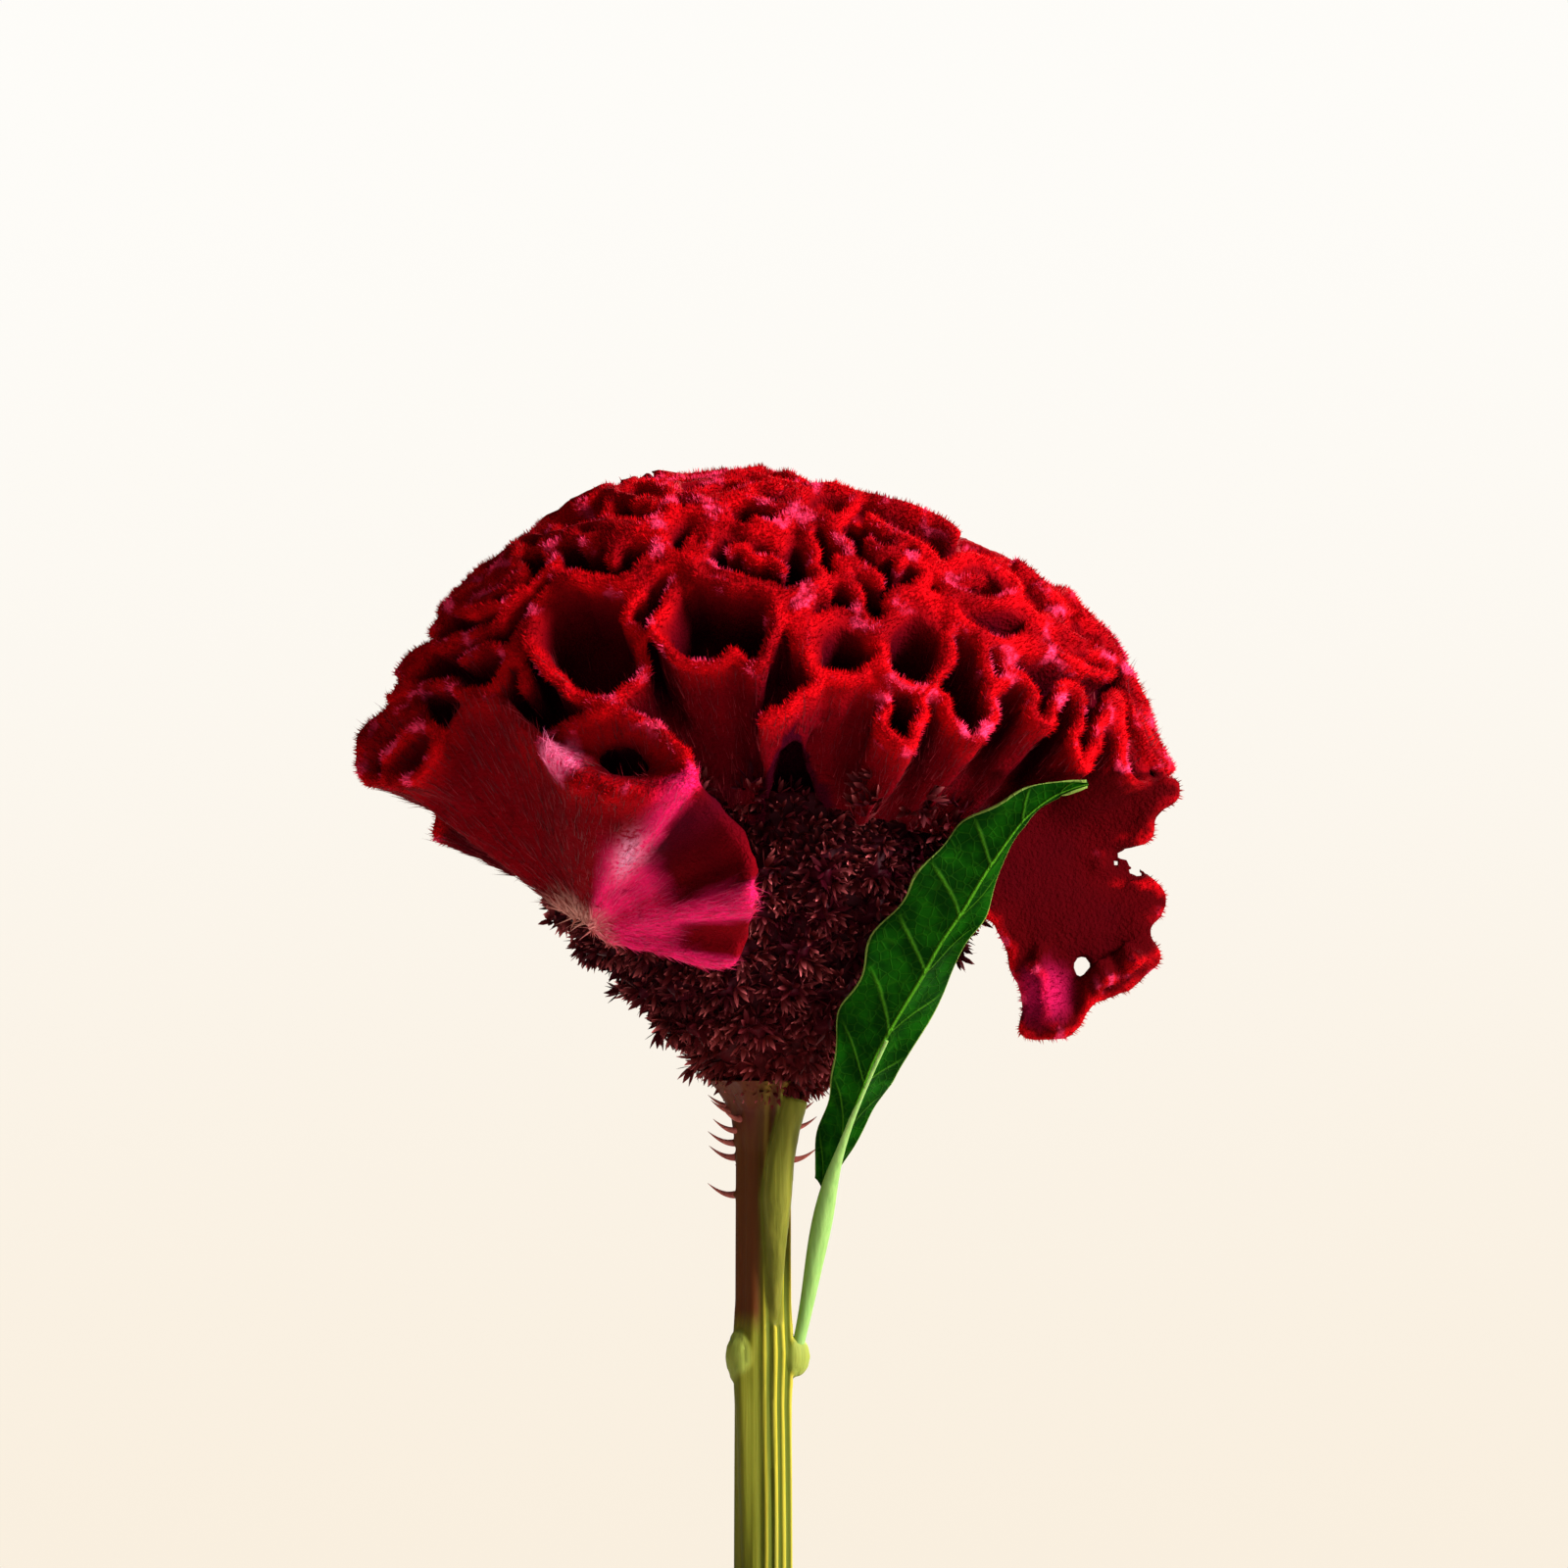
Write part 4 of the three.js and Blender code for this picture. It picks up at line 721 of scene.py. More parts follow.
# Rims of the front: whether a rim closes to a ring, its depth in mm, and its line in steps of
# the photograph's view, with how far it stands off the dome in mm.
FRONT_RIMS = [
    (True, 21, [(545, 655, 1), (552, 622), (580, 594), (612, 602), (638, 612), (634, 634),
        (649, 662, 1), (648, 695, 2), (615, 711, 2), (578, 695, 2), (558, 676, 2)]),
    (True, 14, [(572, 562), (588, 545), (628, 537), (662, 560), (652, 583), (631, 597), (602, 597),
        (580, 588)]),
    (True, 11, [(630, 512), (652, 499), (678, 507), (676, 528), (652, 543), (632, 533)]),
    (True, 26, [(700, 586), (692, 612, 1), (675, 640, 2), (690, 662, 3), (722, 677, 3),
        (745, 663, 3), (768, 677, 3), (784, 645, 2), (787, 612, 1), (760, 598), (738, 590),
        (716, 580)]),
    (False, 12, [(653, 615), (664, 591), (682, 582), (702, 600)]),
    (True, 9, [(680, 545), (698, 532), (716, 545), (712, 562), (694, 570)]),
    (True, 14, [(716, 582, 1), (712, 556), (740, 541), (768, 546), (798, 558), (816, 538),
        (826, 566), (829, 592, 1), (806, 607, 1), (775, 602, 1), (745, 596, 1)]),
    (False, 16, [(826, 600), (822, 625), (800, 640), (786, 640)]),
    (False, 8, [(832, 636), (812, 652, 1), (826, 676, 2), (834, 698, 2), (806, 718, 2),
        (775, 736, 2)]),
    (True, 17, [(834, 652, 1), (858, 632), (884, 654), (889, 678, 1), (862, 693, 2),
        (836, 684, 2)]),
    (False, 14, [(836, 530), (856, 548), (874, 572), (902, 596)]),
    (False, 15, [(869, 598), (880, 628), (891, 664)]),
    (True, 17, [(904, 665, 1), (908, 640), (934, 618), (958, 634), (962, 655), (956, 682, 1),
        (930, 700, 2), (908, 688, 2)]),
    (False, 11, [(846, 694, 2), (882, 700, 1), (903, 714, 1), (900, 744, 4), (924, 762, 5),
        (938, 738, 4), (942, 706), (962, 716, 2), (974, 740, 4), (992, 755, 5), (1009, 738, 3),
        (1006, 700, 1), (1000, 660, 1), (982, 640)]),
    (True, 11, [(962, 590), (982, 576), (1010, 582), (1026, 602), (1004, 614), (978, 608)]),
    (True, 11, [(966, 612), (994, 622), (1026, 618), (1052, 634), (1030, 652), (996, 646)]),
    (False, 12, [(1018, 674), (1048, 660), (1078, 662), (1112, 680)]),
    (False, 19, [(1006, 706, 2), (1036, 686), (1050, 706, 2), (1048, 732, 4), (1064, 740, 4),
        (1076, 712, 2), (1088, 692, -1), (1102, 720, 1), (1094, 762, 3), (1102, 786, 3),
        (1116, 766, 2), (1124, 730), (1136, 704, -1), (1142, 752, 1), (1152, 794, 1),
        (1182, 798)]),
    (False, 12, [(1098, 622), (1128, 648), (1152, 682), (1172, 724)]),
    (False, 10, [(880, 530), (912, 548), (940, 562), (956, 590)]),
    (False, 12, [(858, 502), (886, 512), (918, 522), (948, 532), (980, 552)]),
    (False, 9, [(700, 506), (730, 520), (760, 510), (790, 520), (816, 512)]),
    (True, 9, [(820, 510), (846, 500), (864, 516), (850, 530), (828, 526)]),
    (False, 10, [(1030, 575), (1060, 596), (1082, 620), (1064, 640)]),
    (False, 18, [(398, 712), (428, 702), (456, 700), (482, 713), (508, 701), (518, 676),
        (536, 640)]),
    (False, 14, [(404, 690), (428, 666), (470, 650), (505, 640), (530, 612)]),
    (False, 12, [(446, 640), (470, 610), (500, 596), (540, 590)]),
    (True, 10, [(510, 585), (532, 556), (560, 540), (570, 556), (556, 586), (530, 602)]),
    (False, 7, [(596, 560), (616, 552), (634, 562), (622, 578)]),
    (False, 7, [(648, 522), (664, 516), (672, 524)]),
    (False, 7, [(742, 566), (760, 560), (776, 574), (792, 574), (804, 584)]),
    (False, 7, [(852, 566), (864, 584), (846, 596), (842, 616)]),
    (False, 7, [(912, 580), (928, 572), (944, 586), (936, 602), (952, 612)]),
    (False, 7, [(1000, 596), (988, 590), (978, 598)]),
    (False, 8, [(1044, 648), (1064, 628), (1086, 640), (1108, 654)]),
    (False, 8, [(900, 618), (914, 608), (932, 606)]),
    (False, 7, [(770, 532), (790, 540), (806, 526), (826, 534)]),
    (False, 7, [(700, 524), (724, 532), (746, 524)]),
    (False, 7, [(880, 548), (898, 562), (918, 560)]),
    (False, 9, [(470, 680), (490, 664), (514, 662), (536, 684), (530, 706)]),
    (True, 11, [(374, 784), (370, 756), (390, 735), (426, 736), (444, 758), (436, 782),
        (404, 790)]),
    (False, 13, [(558, 762, -4), (572, 744), (602, 731, 2), (632, 728, 3), (664, 737, 3),
        (690, 756, 3), (708, 786, 4)]),
]


def on_dome(right, down, lift=0):
    x, _, z = seen_at(right, down, 0)
    spread = (x / DOME[0]) ** 2 + (max(0, z - DOME_FOOT) / DOME[2]) ** 2
    return (x, -DOME[1] * math.sqrt(1 - min(0.985, spread)) - lift * MM, z)


def evenly(line, closed, step):
    """Points at even steps along the smooth curve through a line."""
    count = len(line)
    rows = np.concatenate([line[-2:], line, line[:3]] if closed else [line])
    place = np.linspace(0, count if closed else count - 1, 16 * count)
    dense = through(rows, (place + (2 if closed else 0)) / (len(rows) - 1))
    run = np.concatenate([[0], np.cumsum(np.linalg.norm(np.diff(dense, axis=0), axis=1))])
    steps = max(3, round(run[-1] / step))
    return np.stack([np.interp(np.linspace(0, run[-1], steps + 1), run, dense[:, k])
                     for k in range(3)], axis=1)


def band(work, line, closed, depth, focus=CREST_FOCUS, rim=BAND_RIM, wave=RIM_WAVE):
    """Adds a fold of the sheet to a mesh, and gives its rim's line: the fold hangs from its
    rolled rim towards a focus, and flares where it closes to a ring. A wave ruffles the rim."""
    line = evenly(np.array(line), closed, BAND_STEP)
    ahead = np.gradient(line, axis=0)
    if closed:
        ahead[0] = ahead[-1] = line[1] - line[-2]
    inward = focus - line
    inward /= np.linalg.norm(inward, axis=1)[:, None]
    aside = np.cross(ahead, inward)
    aside /= np.linalg.norm(aside, axis=1)[:, None] + 1e-12
    run = np.arange(len(line)) * BAND_STEP + line[0, 0]
    swing = np.sin(run / WAVE_PITCH) * np.sin(np.pi * np.linspace(0, 1, len(line))) ** 0.3
    line += aside * (wave * swing)[:, None]
    outside = np.sign(np.sum(aside * (line - line.mean(axis=0)))) if closed else 0.0
    arc = np.linspace(0, math.pi, 5)
    section = np.array([(rim * math.cos(a), -rim * math.sin(a)) for a in arc] + [
        (-BAND_HALF, 2.2 * rim), (-0.6 * BAND_HALF, depth),
        (0.6 * BAND_HALF, depth), (BAND_HALF, 2.2 * rim), (rim, 0)])
    section[:, 0] += outside * BAND_FLARE * np.exp(-np.maximum(section[:, 1], 0) / (2.4 * MM))
    made = bmesh.ops.create_grid(
        work, x_segments=len(line) - 1, y_segments=len(section) - 1, size=1.0)["verts"]
    flat = np.array([tuple(vert.co) for vert in made])
    i = np.rint((flat[:, 0] + 1) / 2 * (len(line) - 1)).astype(int)
    j = np.rint((flat[:, 1] + 1) / 2 * (len(section) - 1)).astype(int)
    spots = line[i] + aside[i] * section[j, :1] + inward[i] * section[j, 1:]
    for vert, spot in zip(made, spots):
        vert.co = spot
    return line + aside * outside * BAND_FLARE


# Rims of the crown and the back: rows of cups round a pole on the back of the dome. Angles in
# degrees: a row's tilt from the pole, its number of cups, and where it starts and ends.
BACK_ROWS = [(12, 3, 10, 170), (32, 6, -4, 184), (51, 7, 2, 178), (71, 8, 8, 169), (91, 8, 16, 158)]
BACK_POLE_LIFT = math.radians(13)
BACK_SEED = 23
BACK_DEPTH = 14 * MM
BACK_WAVE = 1.1 * MM
INNER_SHARE = 0.42
INNER_DEPTH = 5 * MM
FILL_SEED = 5
FILL_TRIES = 4000
FILL_ROOM = 3.4 * MM
FILL_RADIUS = 2.6 * MM
FILL_DEPTH = 9 * MM
FILL_FOOT = 262 * MM
FILL_RISE = 0.36
CUP_RADIUS = 8.4 * MM
CUP_POINTS = 9
DOME_LEAN = np.array([
    (-56, 1.6), (-28, 1.2), (-16, -1.6), (-8, -0.6), (4, -1.4), (24, -8.2), (38, -4.2), (56, 1.2)]) * MM


def draws(seed):
    """The random numbers that the solids are drawn with."""
    while True:
        seed = (seed * 1664525 + 1013904223) % 4294967296
        yield seed / 4294967296


def back_rims():
    """The cups' rims, at the places that they have in the solid."""
    draw = draws(BACK_SEED)
    lines = []
    for tilt, count, start, end in BACK_ROWS:
        for k in range(count):
            bearing = math.radians(start + (end - start) * (k + 0.3 * (next(draw) - 0.5)) / (count - 1))
            lean = math.radians(tilt + 4 * (next(draw) - 0.5))
            unit = Matrix.Rotation(BACK_POLE_LIFT, 3, "X") @ Vector((
                math.sin(lean) * math.cos(bearing), math.cos(lean), math.sin(lean) * math.sin(bearing)))
            middle = np.array(unit) * DOME
            outward = np.array(unit) / DOME
            outward /= np.linalg.norm(outward)
            level = np.cross((0, 0, 1), outward)
            level /= np.linalg.norm(level)
            upward = np.cross(outward, level)
            size = CUP_RADIUS * (0.88 + 0.24 * next(draw))
            phase, stretch = 2 * math.pi * next(draw), 1 + 0.3 * next(draw)
            next(draw)
            line = []
            for point in range(CUP_POINTS):
                angle = 2 * math.pi * point / CUP_POINTS
                reach = size * (1 + 0.18 * math.cos(2 * angle + phase)
                                + 0.16 * math.cos(3 * angle + 2 * phase))
                spot = (middle + level * reach * stretch * math.cos(angle + phase)
                        + upward * reach / stretch * math.sin(angle + phase))
                spot = spot / np.linalg.norm(spot / DOME) + outward * 1.8 * MM * (next(draw) - 0.7)
                line.append(spot + (0, 0, DOME_FOOT + np.interp(spot[0], *DOME_LEAN.T)))
            lines.append(line)
    return lines


def filling_rims(taken):
    """Small rings on the back and the crown, where no other rim lies near."""
    draw = np.random.default_rng(FILL_SEED)
    lines = []
    for _ in range(FILL_TRIES):
        unit = draw.normal(size=3)
        unit = np.abs(unit) * (np.sign(unit[0]), 1, 1) / np.linalg.norm(unit)
        outward = unit / DOME
        outward /= np.linalg.norm(outward)
        level = np.cross((0, 0, 1), outward)
        level /= np.linalg.norm(level) + 1e-9
        upward = np.cross(outward, level)
        spot = unit * DOME
        spot = spot + (0, 0, DOME_FOOT + np.interp(spot[0], *DOME_LEAN.T))
        foot = FILL_FOOT + FILL_RISE * abs(spot[0])
        if spot[2] < foot or np.min(np.linalg.norm(taken - spot, axis=1)) < FILL_ROOM:
            continue
        turns = np.linspace(0, 2 * math.pi, 6, endpoint=False) + draw.uniform(0, 1)
        reach = FILL_RADIUS * draw.uniform(0.7, 1.3, 6)
        line = [spot + (level * math.cos(a) + upward * math.sin(a)) * r
                for a, r in zip(turns, reach)]
        lines.append(line)
        taken = np.concatenate([taken, line, [spot]])
    return lines


# The left wall fans out from its root in pleats. In front it ends in a lip and in a turned-out
# flap. Its margin: a place in the view, and the lean forward for each millimetre from the root.
FAN_MARGIN = [
    (690, 952, 0.62), (748, 982, 0.80), (763, 952, 0.82), (768, 914, 1.12), (768, 882, 0.88),
    (757, 852, 0.84), (736, 824, 0.90), (710, 802, 1.22), (675, 808, 1.38), (640, 809, 1.50),
    (608, 803, 1.36), (580, 788, 1.06), (558, 760, 0.78), (535, 732, 0.56), (508, 712, 0.38),
    (478, 720, 0.26), (458, 748, 0.16), (436, 778, 0.06), (390, 782, 0.00)]
FAN_BOW = 2.2 * MM
FAN_PLEAT = 0.45 * MM
FAN_THICKNESS = 2.0 * MM
FAN_FLAP, FAN_LIP = slice(1, 8), slice(7, 13)


def fan_margin(right, down, lean):
    x, _, z = seen_at(right, down, 0)
    reach = math.hypot(x - FAN_ROOT[0], z - FAN_ROOT[2])
    return np.array((x, FAN_ROOT[1] - lean * reach, z))


def sheet(name, cells, thickness, shape):
    """A thin sheet, whose points a function gives for their two shares of the way over it."""
    work = bmesh.new()
    bmesh.ops.create_grid(work, x_segments=cells[0], y_segments=cells[1], size=0.5)
    shares = np.array([tuple(vert.co) for vert in work.verts]) + 0.5
    for vert, spot in zip(work.verts, shape(shares[:, 0], shares[:, 1:2])):
        vert.co = spot
    piece = shaped(name, work)
    modify(piece, "SOLIDIFY", thickness=thickness, offset=0)
    return settle(piece)


def fan_shape(along, out):
    out = 0.06 + 0.94 * out
    spots = FAN_ROOT + (through(fan_edge, along) - FAN_ROOT) * out
    pleat = FAN_PLEAT * out[:, 0] * np.sin(95 * along)
    spots[:, 1] -= FAN_BOW * np.sin(np.pi * out[:, 0]) + pleat
    return spots


fan_edge = np.array([fan_margin(*row) for row in FAN_MARGIN])
fan = sheet("fan", (150, 30), FAN_THICKNESS, fan_shape)

# The lip is a shallow bowl with a small deep hole. Its rim is the fan's upper margin in front
# and the last of the front rims behind.
LIP_HOLE = np.array(seen_at(641, 785, -37))
LIP_HOLE_SHARE = 0.38
LIP_SINK = 1.0 * MM
SHEET_THICKNESS = 1.4 * MM


def lip_shape(along, inward):
    around = lip_rim[np.rint(along * (len(lip_rim) - 1)).astype(int)]
    spots = around + (LIP_HOLE - around) * inward * (1 - LIP_HOLE_SHARE)
    spots[:, 1] += LIP_SINK * inward[:, 0] ** 1.5
    return spots


lip_rim = evenly(np.concatenate(
    [[on_dome(*spot) for spot in FRONT_RIMS[-1][2]], fan_edge[FAN_LIP]]), True, 0.5 * MM)
lip = sheet("lip", (90, 10), SHEET_THICKNESS, lip_shape)

# The right flap hangs beside the head: ruffled rims on its notched margin, and folds on its foot.
# Each rim: the place that its fold hangs towards, the fold's depth in mm, and the rim's line.
FLAP_RIMS = [
    ((1075, 890), 5, [(1000, 932), (1019, 946), (1031, 986), (1043, 1022), (1042, 1048),
        (1068, 1054, 1), (1094, 1045, 2), (1114, 1020, 2), (1152, 1005, 1), (1178, 976),
        (1166, 958)]),
    ((1070, 884), 3, [(1164, 946), (1180, 932, 1), (1184, 912), (1174, 899, 1), (1158, 901),
        (1140, 902), (1125, 891), (1122, 874), (1130, 856), (1150, 853, 1), (1172, 856),
        (1171, 840), (1174, 826), (1190, 824, 1), (1199, 812), (1192, 796, 1), (1180, 800)]),
    ((1075, 890), 4, [(1046, 984, 2), (1062, 1000, 3), (1058, 1020, 3), (1074, 1042, 2)]),
    ((1075, 890), 4, [(1114, 1016, 1), (1126, 1003, 3), (1142, 996, 2), (1158, 986, 3),
        (1178, 974, 1)]),
]
FLAP_WAVE = 0.7 * MM
# The near and the far ends of the rows of the sheet that fills the flap's upper corner.
FLAP_CORNER = [((1112, 800), (1186, 800)), ((1114, 816), (1184, 818)), ((1116, 832), (1168, 832)),
               ((1118, 856), (1166, 853))]


def on_flap(right, down, lift=0):
    x, _, z = seen_at(right, down, 0)
    y = -17.5 + 0.3 * (x / MM - 36) + 1.3 * math.sin(z / (5 * MM) + x / (8 * MM))
    return (x, (y - lift) * MM, z)


def corner_shape(along, out):
    near, far = (np.array([on_flap(*row[k]) for row in FLAP_CORNER]) for k in range(2))
    return through(near, along) + (through(far, along) - through(near, along)) * out


corner = sheet("flap_corner", (24, 24), SHEET_THICKNESS, corner_shape)

# All the folds and sheets are joined to the slim copy of the solid and grown together.
slim = copy_of("crest", "slim")
modify(slim, "DISPLACE", strength=-CORE_SLIM, mid_level=0)
settle(slim)
folds = bmesh.new()
rims = [band(folds, [on_dome(*spot) for spot in line], closed, depth * MM)
        for closed, depth, line in FRONT_RIMS]
rims.append(band(folds, fan_edge[FAN_LIP], False, 6 * MM, FAN_ROOT, rim=1.6 * MM))
band(folds, fan_edge[FAN_FLAP], False, 5 * MM, FAN_ROOT)
for line in back_rims():
    rims.append(band(folds, line, True, BACK_DEPTH, wave=BACK_WAVE))
    centre = np.mean(line, axis=0)
    inner = [centre + (spot - centre) * INNER_SHARE for spot in line[::2]]
    rims.append(band(folds, inner, True, INNER_DEPTH))
for line in filling_rims(np.concatenate(rims)):
    rims.append(band(folds, line, True, FILL_DEPTH))
for focus, depth, line in FLAP_RIMS:
    rims.append(band(folds, [on_flap(*spot) for spot in line], False, depth * MM,
                     np.array(on_flap(*focus)), wave=FLAP_WAVE))
bmesh.ops.remove_doubles(folds, verts=folds.verts, dist=0.01 * MM)
bmesh.ops.holes_fill(folds, edges=folds.edges)
bmesh.ops.recalc_face_normals(folds, faces=folds.faces)
for part in (slim, fan, lip, corner):
    folds.from_mesh(part.data)
crest = shaped("crest_comb", folds)
modify(crest, "REMESH", mode="VOXEL", voxel_size=VOXEL, use_smooth_shade=True)
modify(crest, "SMOOTH", factor=0.5, iterations=8)
modify(crest, "DECIMATE", ratio=CREST_KEPT)
settle(crest)


def distance_to(points):
    """How far each point of the crest lies from the nearest of the given points."""
    tree = KDTree(len(points))
    for index, spot in enumerate(points):
        tree.insert(Vector(spot), index)
    tree.balance()
    return np.array([tree.find(Vector(spot))[2] for spot in points_of(crest.data)])


off_rim = distance_to(np.concatenate(rims))
off_fan = distance_to(points_of(fan.data))
off_lip = distance_to(points_of(lip.data))
for part in (slim, fan, lip, corner):
    bpy.data.objects.remove(part)
mark(crest.data, "off_rim", off_rim)
modify(crest, "DISPLACE", texture=clouds_of("drift", 16 * MM, 1, True), strength=2 * MM,
       direction="RGB_TO_XYZ", texture_coords="LOCAL")
modify(crest, "DISPLACE", texture=clouds_of("crinkle", 3.5 * MM, 2), strength=0.7 * MM,
       texture_coords="LOCAL")
settle(crest)


def openness(mesh, rays, reach, seed):
    """The share of rays that leave each point of a mesh without meeting it again."""
    spots, outward = points_of(mesh), points_of(mesh, "normal")
    tree = BVHTree.FromPolygons(spots.tolist(), [tuple(p.vertices) for p in mesh.polygons])
    draw = np.random.default_rng(seed)
    ways = draw.normal(size=(rays, len(spots), 3))
    ways /= np.linalg.norm(ways, axis=2)[..., None]
    free = np.zeros(len(spots))
    for way in ways:
        aim = way + outward
        aim /= np.linalg.norm(aim, axis=1)[:, None] + 1e-9
        for index, (spot, heading) in enumerate(zip(spots + outward * 0.4 * MM, aim)):
            if tree.ray_cast(Vector(spot), Vector(heading), reach)[0] is None:
                free[index] += 1
    return free / rays


def evened(mesh, values, rounds):
    """Values at the points of a mesh, each averaged with those of its neighbours."""
    pairs = np.zeros(len(mesh.edges) * 2, np.int32)
    mesh.edges.foreach_get("vertices", pairs)
    one, other = pairs.reshape(-1, 2).T
    count = np.bincount(pairs, minlength=len(values)) + 1
    for _ in range(rounds):
        total = values + np.bincount(one, values[other], len(values))
        values = (total + np.bincount(other, values[one], len(values))) / count
    return values


# What the materials and the hairs read at each point: how open and how near a rim it is, which
# the velvet paints as shade in the depths and as a highlight on the rims, where the fan's root
# flushes it magenta, and how thickly nap and hairs grow there.
FLAP_LEFT, FLAP_TOP = 33 * MM, 272 * MM
FLAP_SHADE = 0.36
CLEFT_MIDDLE, CLEFT_TOP, CLEFT_FOOT = 808, 742, 846
CURL = (573, 772, -36)
FLAP_FOOT = (1064, 1012, 2)
NAP_SPLIT = 6 * MM

spots, outward = points_of(crest.data), points_of(crest.data, "normal")
right, down = VIEW_CENTRE + spots[:, 0] / PIXEL, VIEW_BASE - (spots[:, 2] - VIEW_FOOT) / PIXEL
in_flap = (spots[:, 0] > FLAP_LEFT) & (spots[:, 2] < FLAP_TOP)
off_root = np.linalg.norm(spots - FAN_ROOT, axis=1)
off_root_seen = np.hypot(spots[:, 0] - FAN_ROOT[0], spots[:, 2] - FAN_ROOT[2])
aim = np.degrees(np.arctan2(spots[:, 2] - FAN_ROOT[2], spots[:, 0] - FAN_ROOT[0]))

# Openness: the velvet paints shade where it is low, and it also sets where nap and hairs grow.
rays = OPEN_RAYS
free = evened(crest.data, openness(crest.data, rays, OPEN_REACH, 3), 5)
# Painted shade over the whole right flap.
free = np.where(in_flap, FLAP_SHADE * free, free)
narrow = np.where(in_flap, 0.6, 1.0)
# The rims' mark, for the painted rim highlight and the nap.
edge = 1 - smooth_step(off_rim, 0.8 * MM * narrow, 1.9 * MM * narrow)
# Painted light: the lip's bowl counts as open, so its colour is lifted out of the painted shade.
off_hole = np.linalg.norm(spots - LIP_HOLE, axis=1)
free = np.maximum(free, 1.1 * smooth_step(off_hole, 3 * MM, 5 * MM) * (off_lip < 1.5 * MM))
# Painted shade in the cleft between the fan and the head.
in_cleft = (spots[:, 1] < -6 * MM) & (down > CLEFT_TOP) & (down < CLEFT_FOOT) & (
    off_fan > 2 * MM)
free *= 1 - 0.9 * (in_cleft & (np.abs(right - CLEFT_MIDDLE) < (down - 736) * 0.46))
# Painted shade at the foot of the walls above the florets; the mark also thickens the down there.
wall_foot = (1 - smooth_step(spots[:, 2], 260 * MM, 276 * MM)) * (off_fan > 2 * MM) * ~in_flap
free *= 1 - 0.45 * wall_foot
# Painted shade in the fan's pocket beside its ridge.
pocket = (off_fan < 2 * MM) * smooth_step(aim, 22, 50) * (1 - smooth_step(aim, 50, 53))
free *= 1 - 0.7 * pocket

in_fan = off_fan < 1.9 * MM
away = np.where(in_fan[:, None], spots - FAN_ROOT, spots - CREST_FOCUS)
away /= np.linalg.norm(away, axis=1)[:, None]
lying = away - outward * np.einsum("ij,ij->i", away, outward)[:, None]
foot = np.linalg.norm(spots - np.array(on_flap(*FLAP_FOOT)), axis=1)
foot_patch = 0.7 - 0.7 * smooth_step(foot, 1 * MM, 6 * MM)
standing = np.maximum(smooth_step(free, 0.12, 0.5) * edge ** 1.5, 0.8 * foot_patch)
front = spots[:, 1] < NAP_SPLIT
wall = (1 - edge) * smooth_step(free, 0.12, 0.4) * (spots[:, 2] < 288 * MM)
# The fan's magenta marks: its own colour near the root and in its strips; along the ridge partly a
# painted sheen.
ridge_width = 15 - 9 * smooth_step(off_root, 9 * MM, 22 * MM)
ridge = smooth_step(aim, 51, 54) * np.exp(-((aim - 54) / ridge_width) ** 2)
strip = smooth_step(aim, 3, 6) * (1 - smooth_step(aim, 15, 18))
glow = (1 - smooth_step(off_root_seen, 11 * MM, 16 * MM)) * (1 - smooth_step(aim, 62, 84))
keel = smooth_step(-aim, 9, 13)
# Painted glint: lilac highlights beside the fan's ridge.
spark = np.exp(-((off_root_seen - 12.5 * MM) / (3.2 * MM)) ** 2 - ((aim - 60) / 7) ** 2)
streaks = np.where(in_fan, np.maximum.reduce([ridge, strip, glow, keel]), 0)
curl = 1 - smooth_step(np.linalg.norm(spots - seen_at(*CURL), axis=1), 2.5 * MM, 4.5 * MM)
beside_root = 1 - smooth_step(off_root, 5 * MM, 20 * MM)
downy = np.where(in_fan, np.maximum(0.35 * smooth_step(aim, 55, 75), beside_root), 0.25)
downy = np.where(in_flap, 0, np.maximum(downy, wall_foot))
low = 1 - smooth_step(spots[:, 2] + 2 * MM * np.sin(spots[:, 0] / (1.3 * MM)), 262 * MM, 271 * MM)
over_cone = (np.abs(spots[:, 0] - 6 * MM) < 26 * MM) & (spots[:, 1] < -8 * MM) & ~in_fan
for name, values in {
        "open": free,
        "edge": edge,
        "shaded": 1.0 * in_flap,
        "flush": np.maximum.reduce([streaks, curl, 0.6 * foot_patch]),
        "spark": np.maximum(spark * (off_fan < 3 * MM), 0.4 * curl),
        "nap_way": outward + 0.5 * away,
        "nap_front": np.where(front, standing, 0),
        "nap_back": np.where(front, 0, standing),
        "hair_way": lying + 0.13 * outward,
        "hair": np.maximum(wall * np.maximum(downy, streaks), curl),
        "tuft": (1 - smooth_step(off_root, 2 * MM, 11 * MM)) * (off_fan < 3 * MM),
        "packed": low * over_cone * smooth_step(free, 0.05, 0.2),
        "out": outward + np.array((0, 0, 0.9))}.items():
    mark(crest.data, name, values)

# The first four colours are painted shade levels of one crimson velvet, from the deepest hollows to
# open faces. The rims' rose and scarlet are partly a painted highlight, the pink and lilac are painted
# highlights, and the flap's dark red is painted shade.
PURPLE_BLACK = (0.036, 0.0004, 0.006)
WINE = (0.085, 0.0004, 0.004)
CRIMSON = (0.155, 0.0006, 0.004)
RUBY = (0.27, 0.001, 0.004)
ROSE = (0.27, 0.001, 0.004)
SCARLET = (0.66, 0.002, 0.006)
PINK = (1.0, 0.05, 0.17)
MAGENTA = (0.98, 0.015, 0.17)
LILAC_GLINT = (1.0, 0.42, 0.70)
FLAP_SHADED_RED = (0.050, 0.0001, 0.0006)
BEIGE = (0.50, 0.22, 0.19)


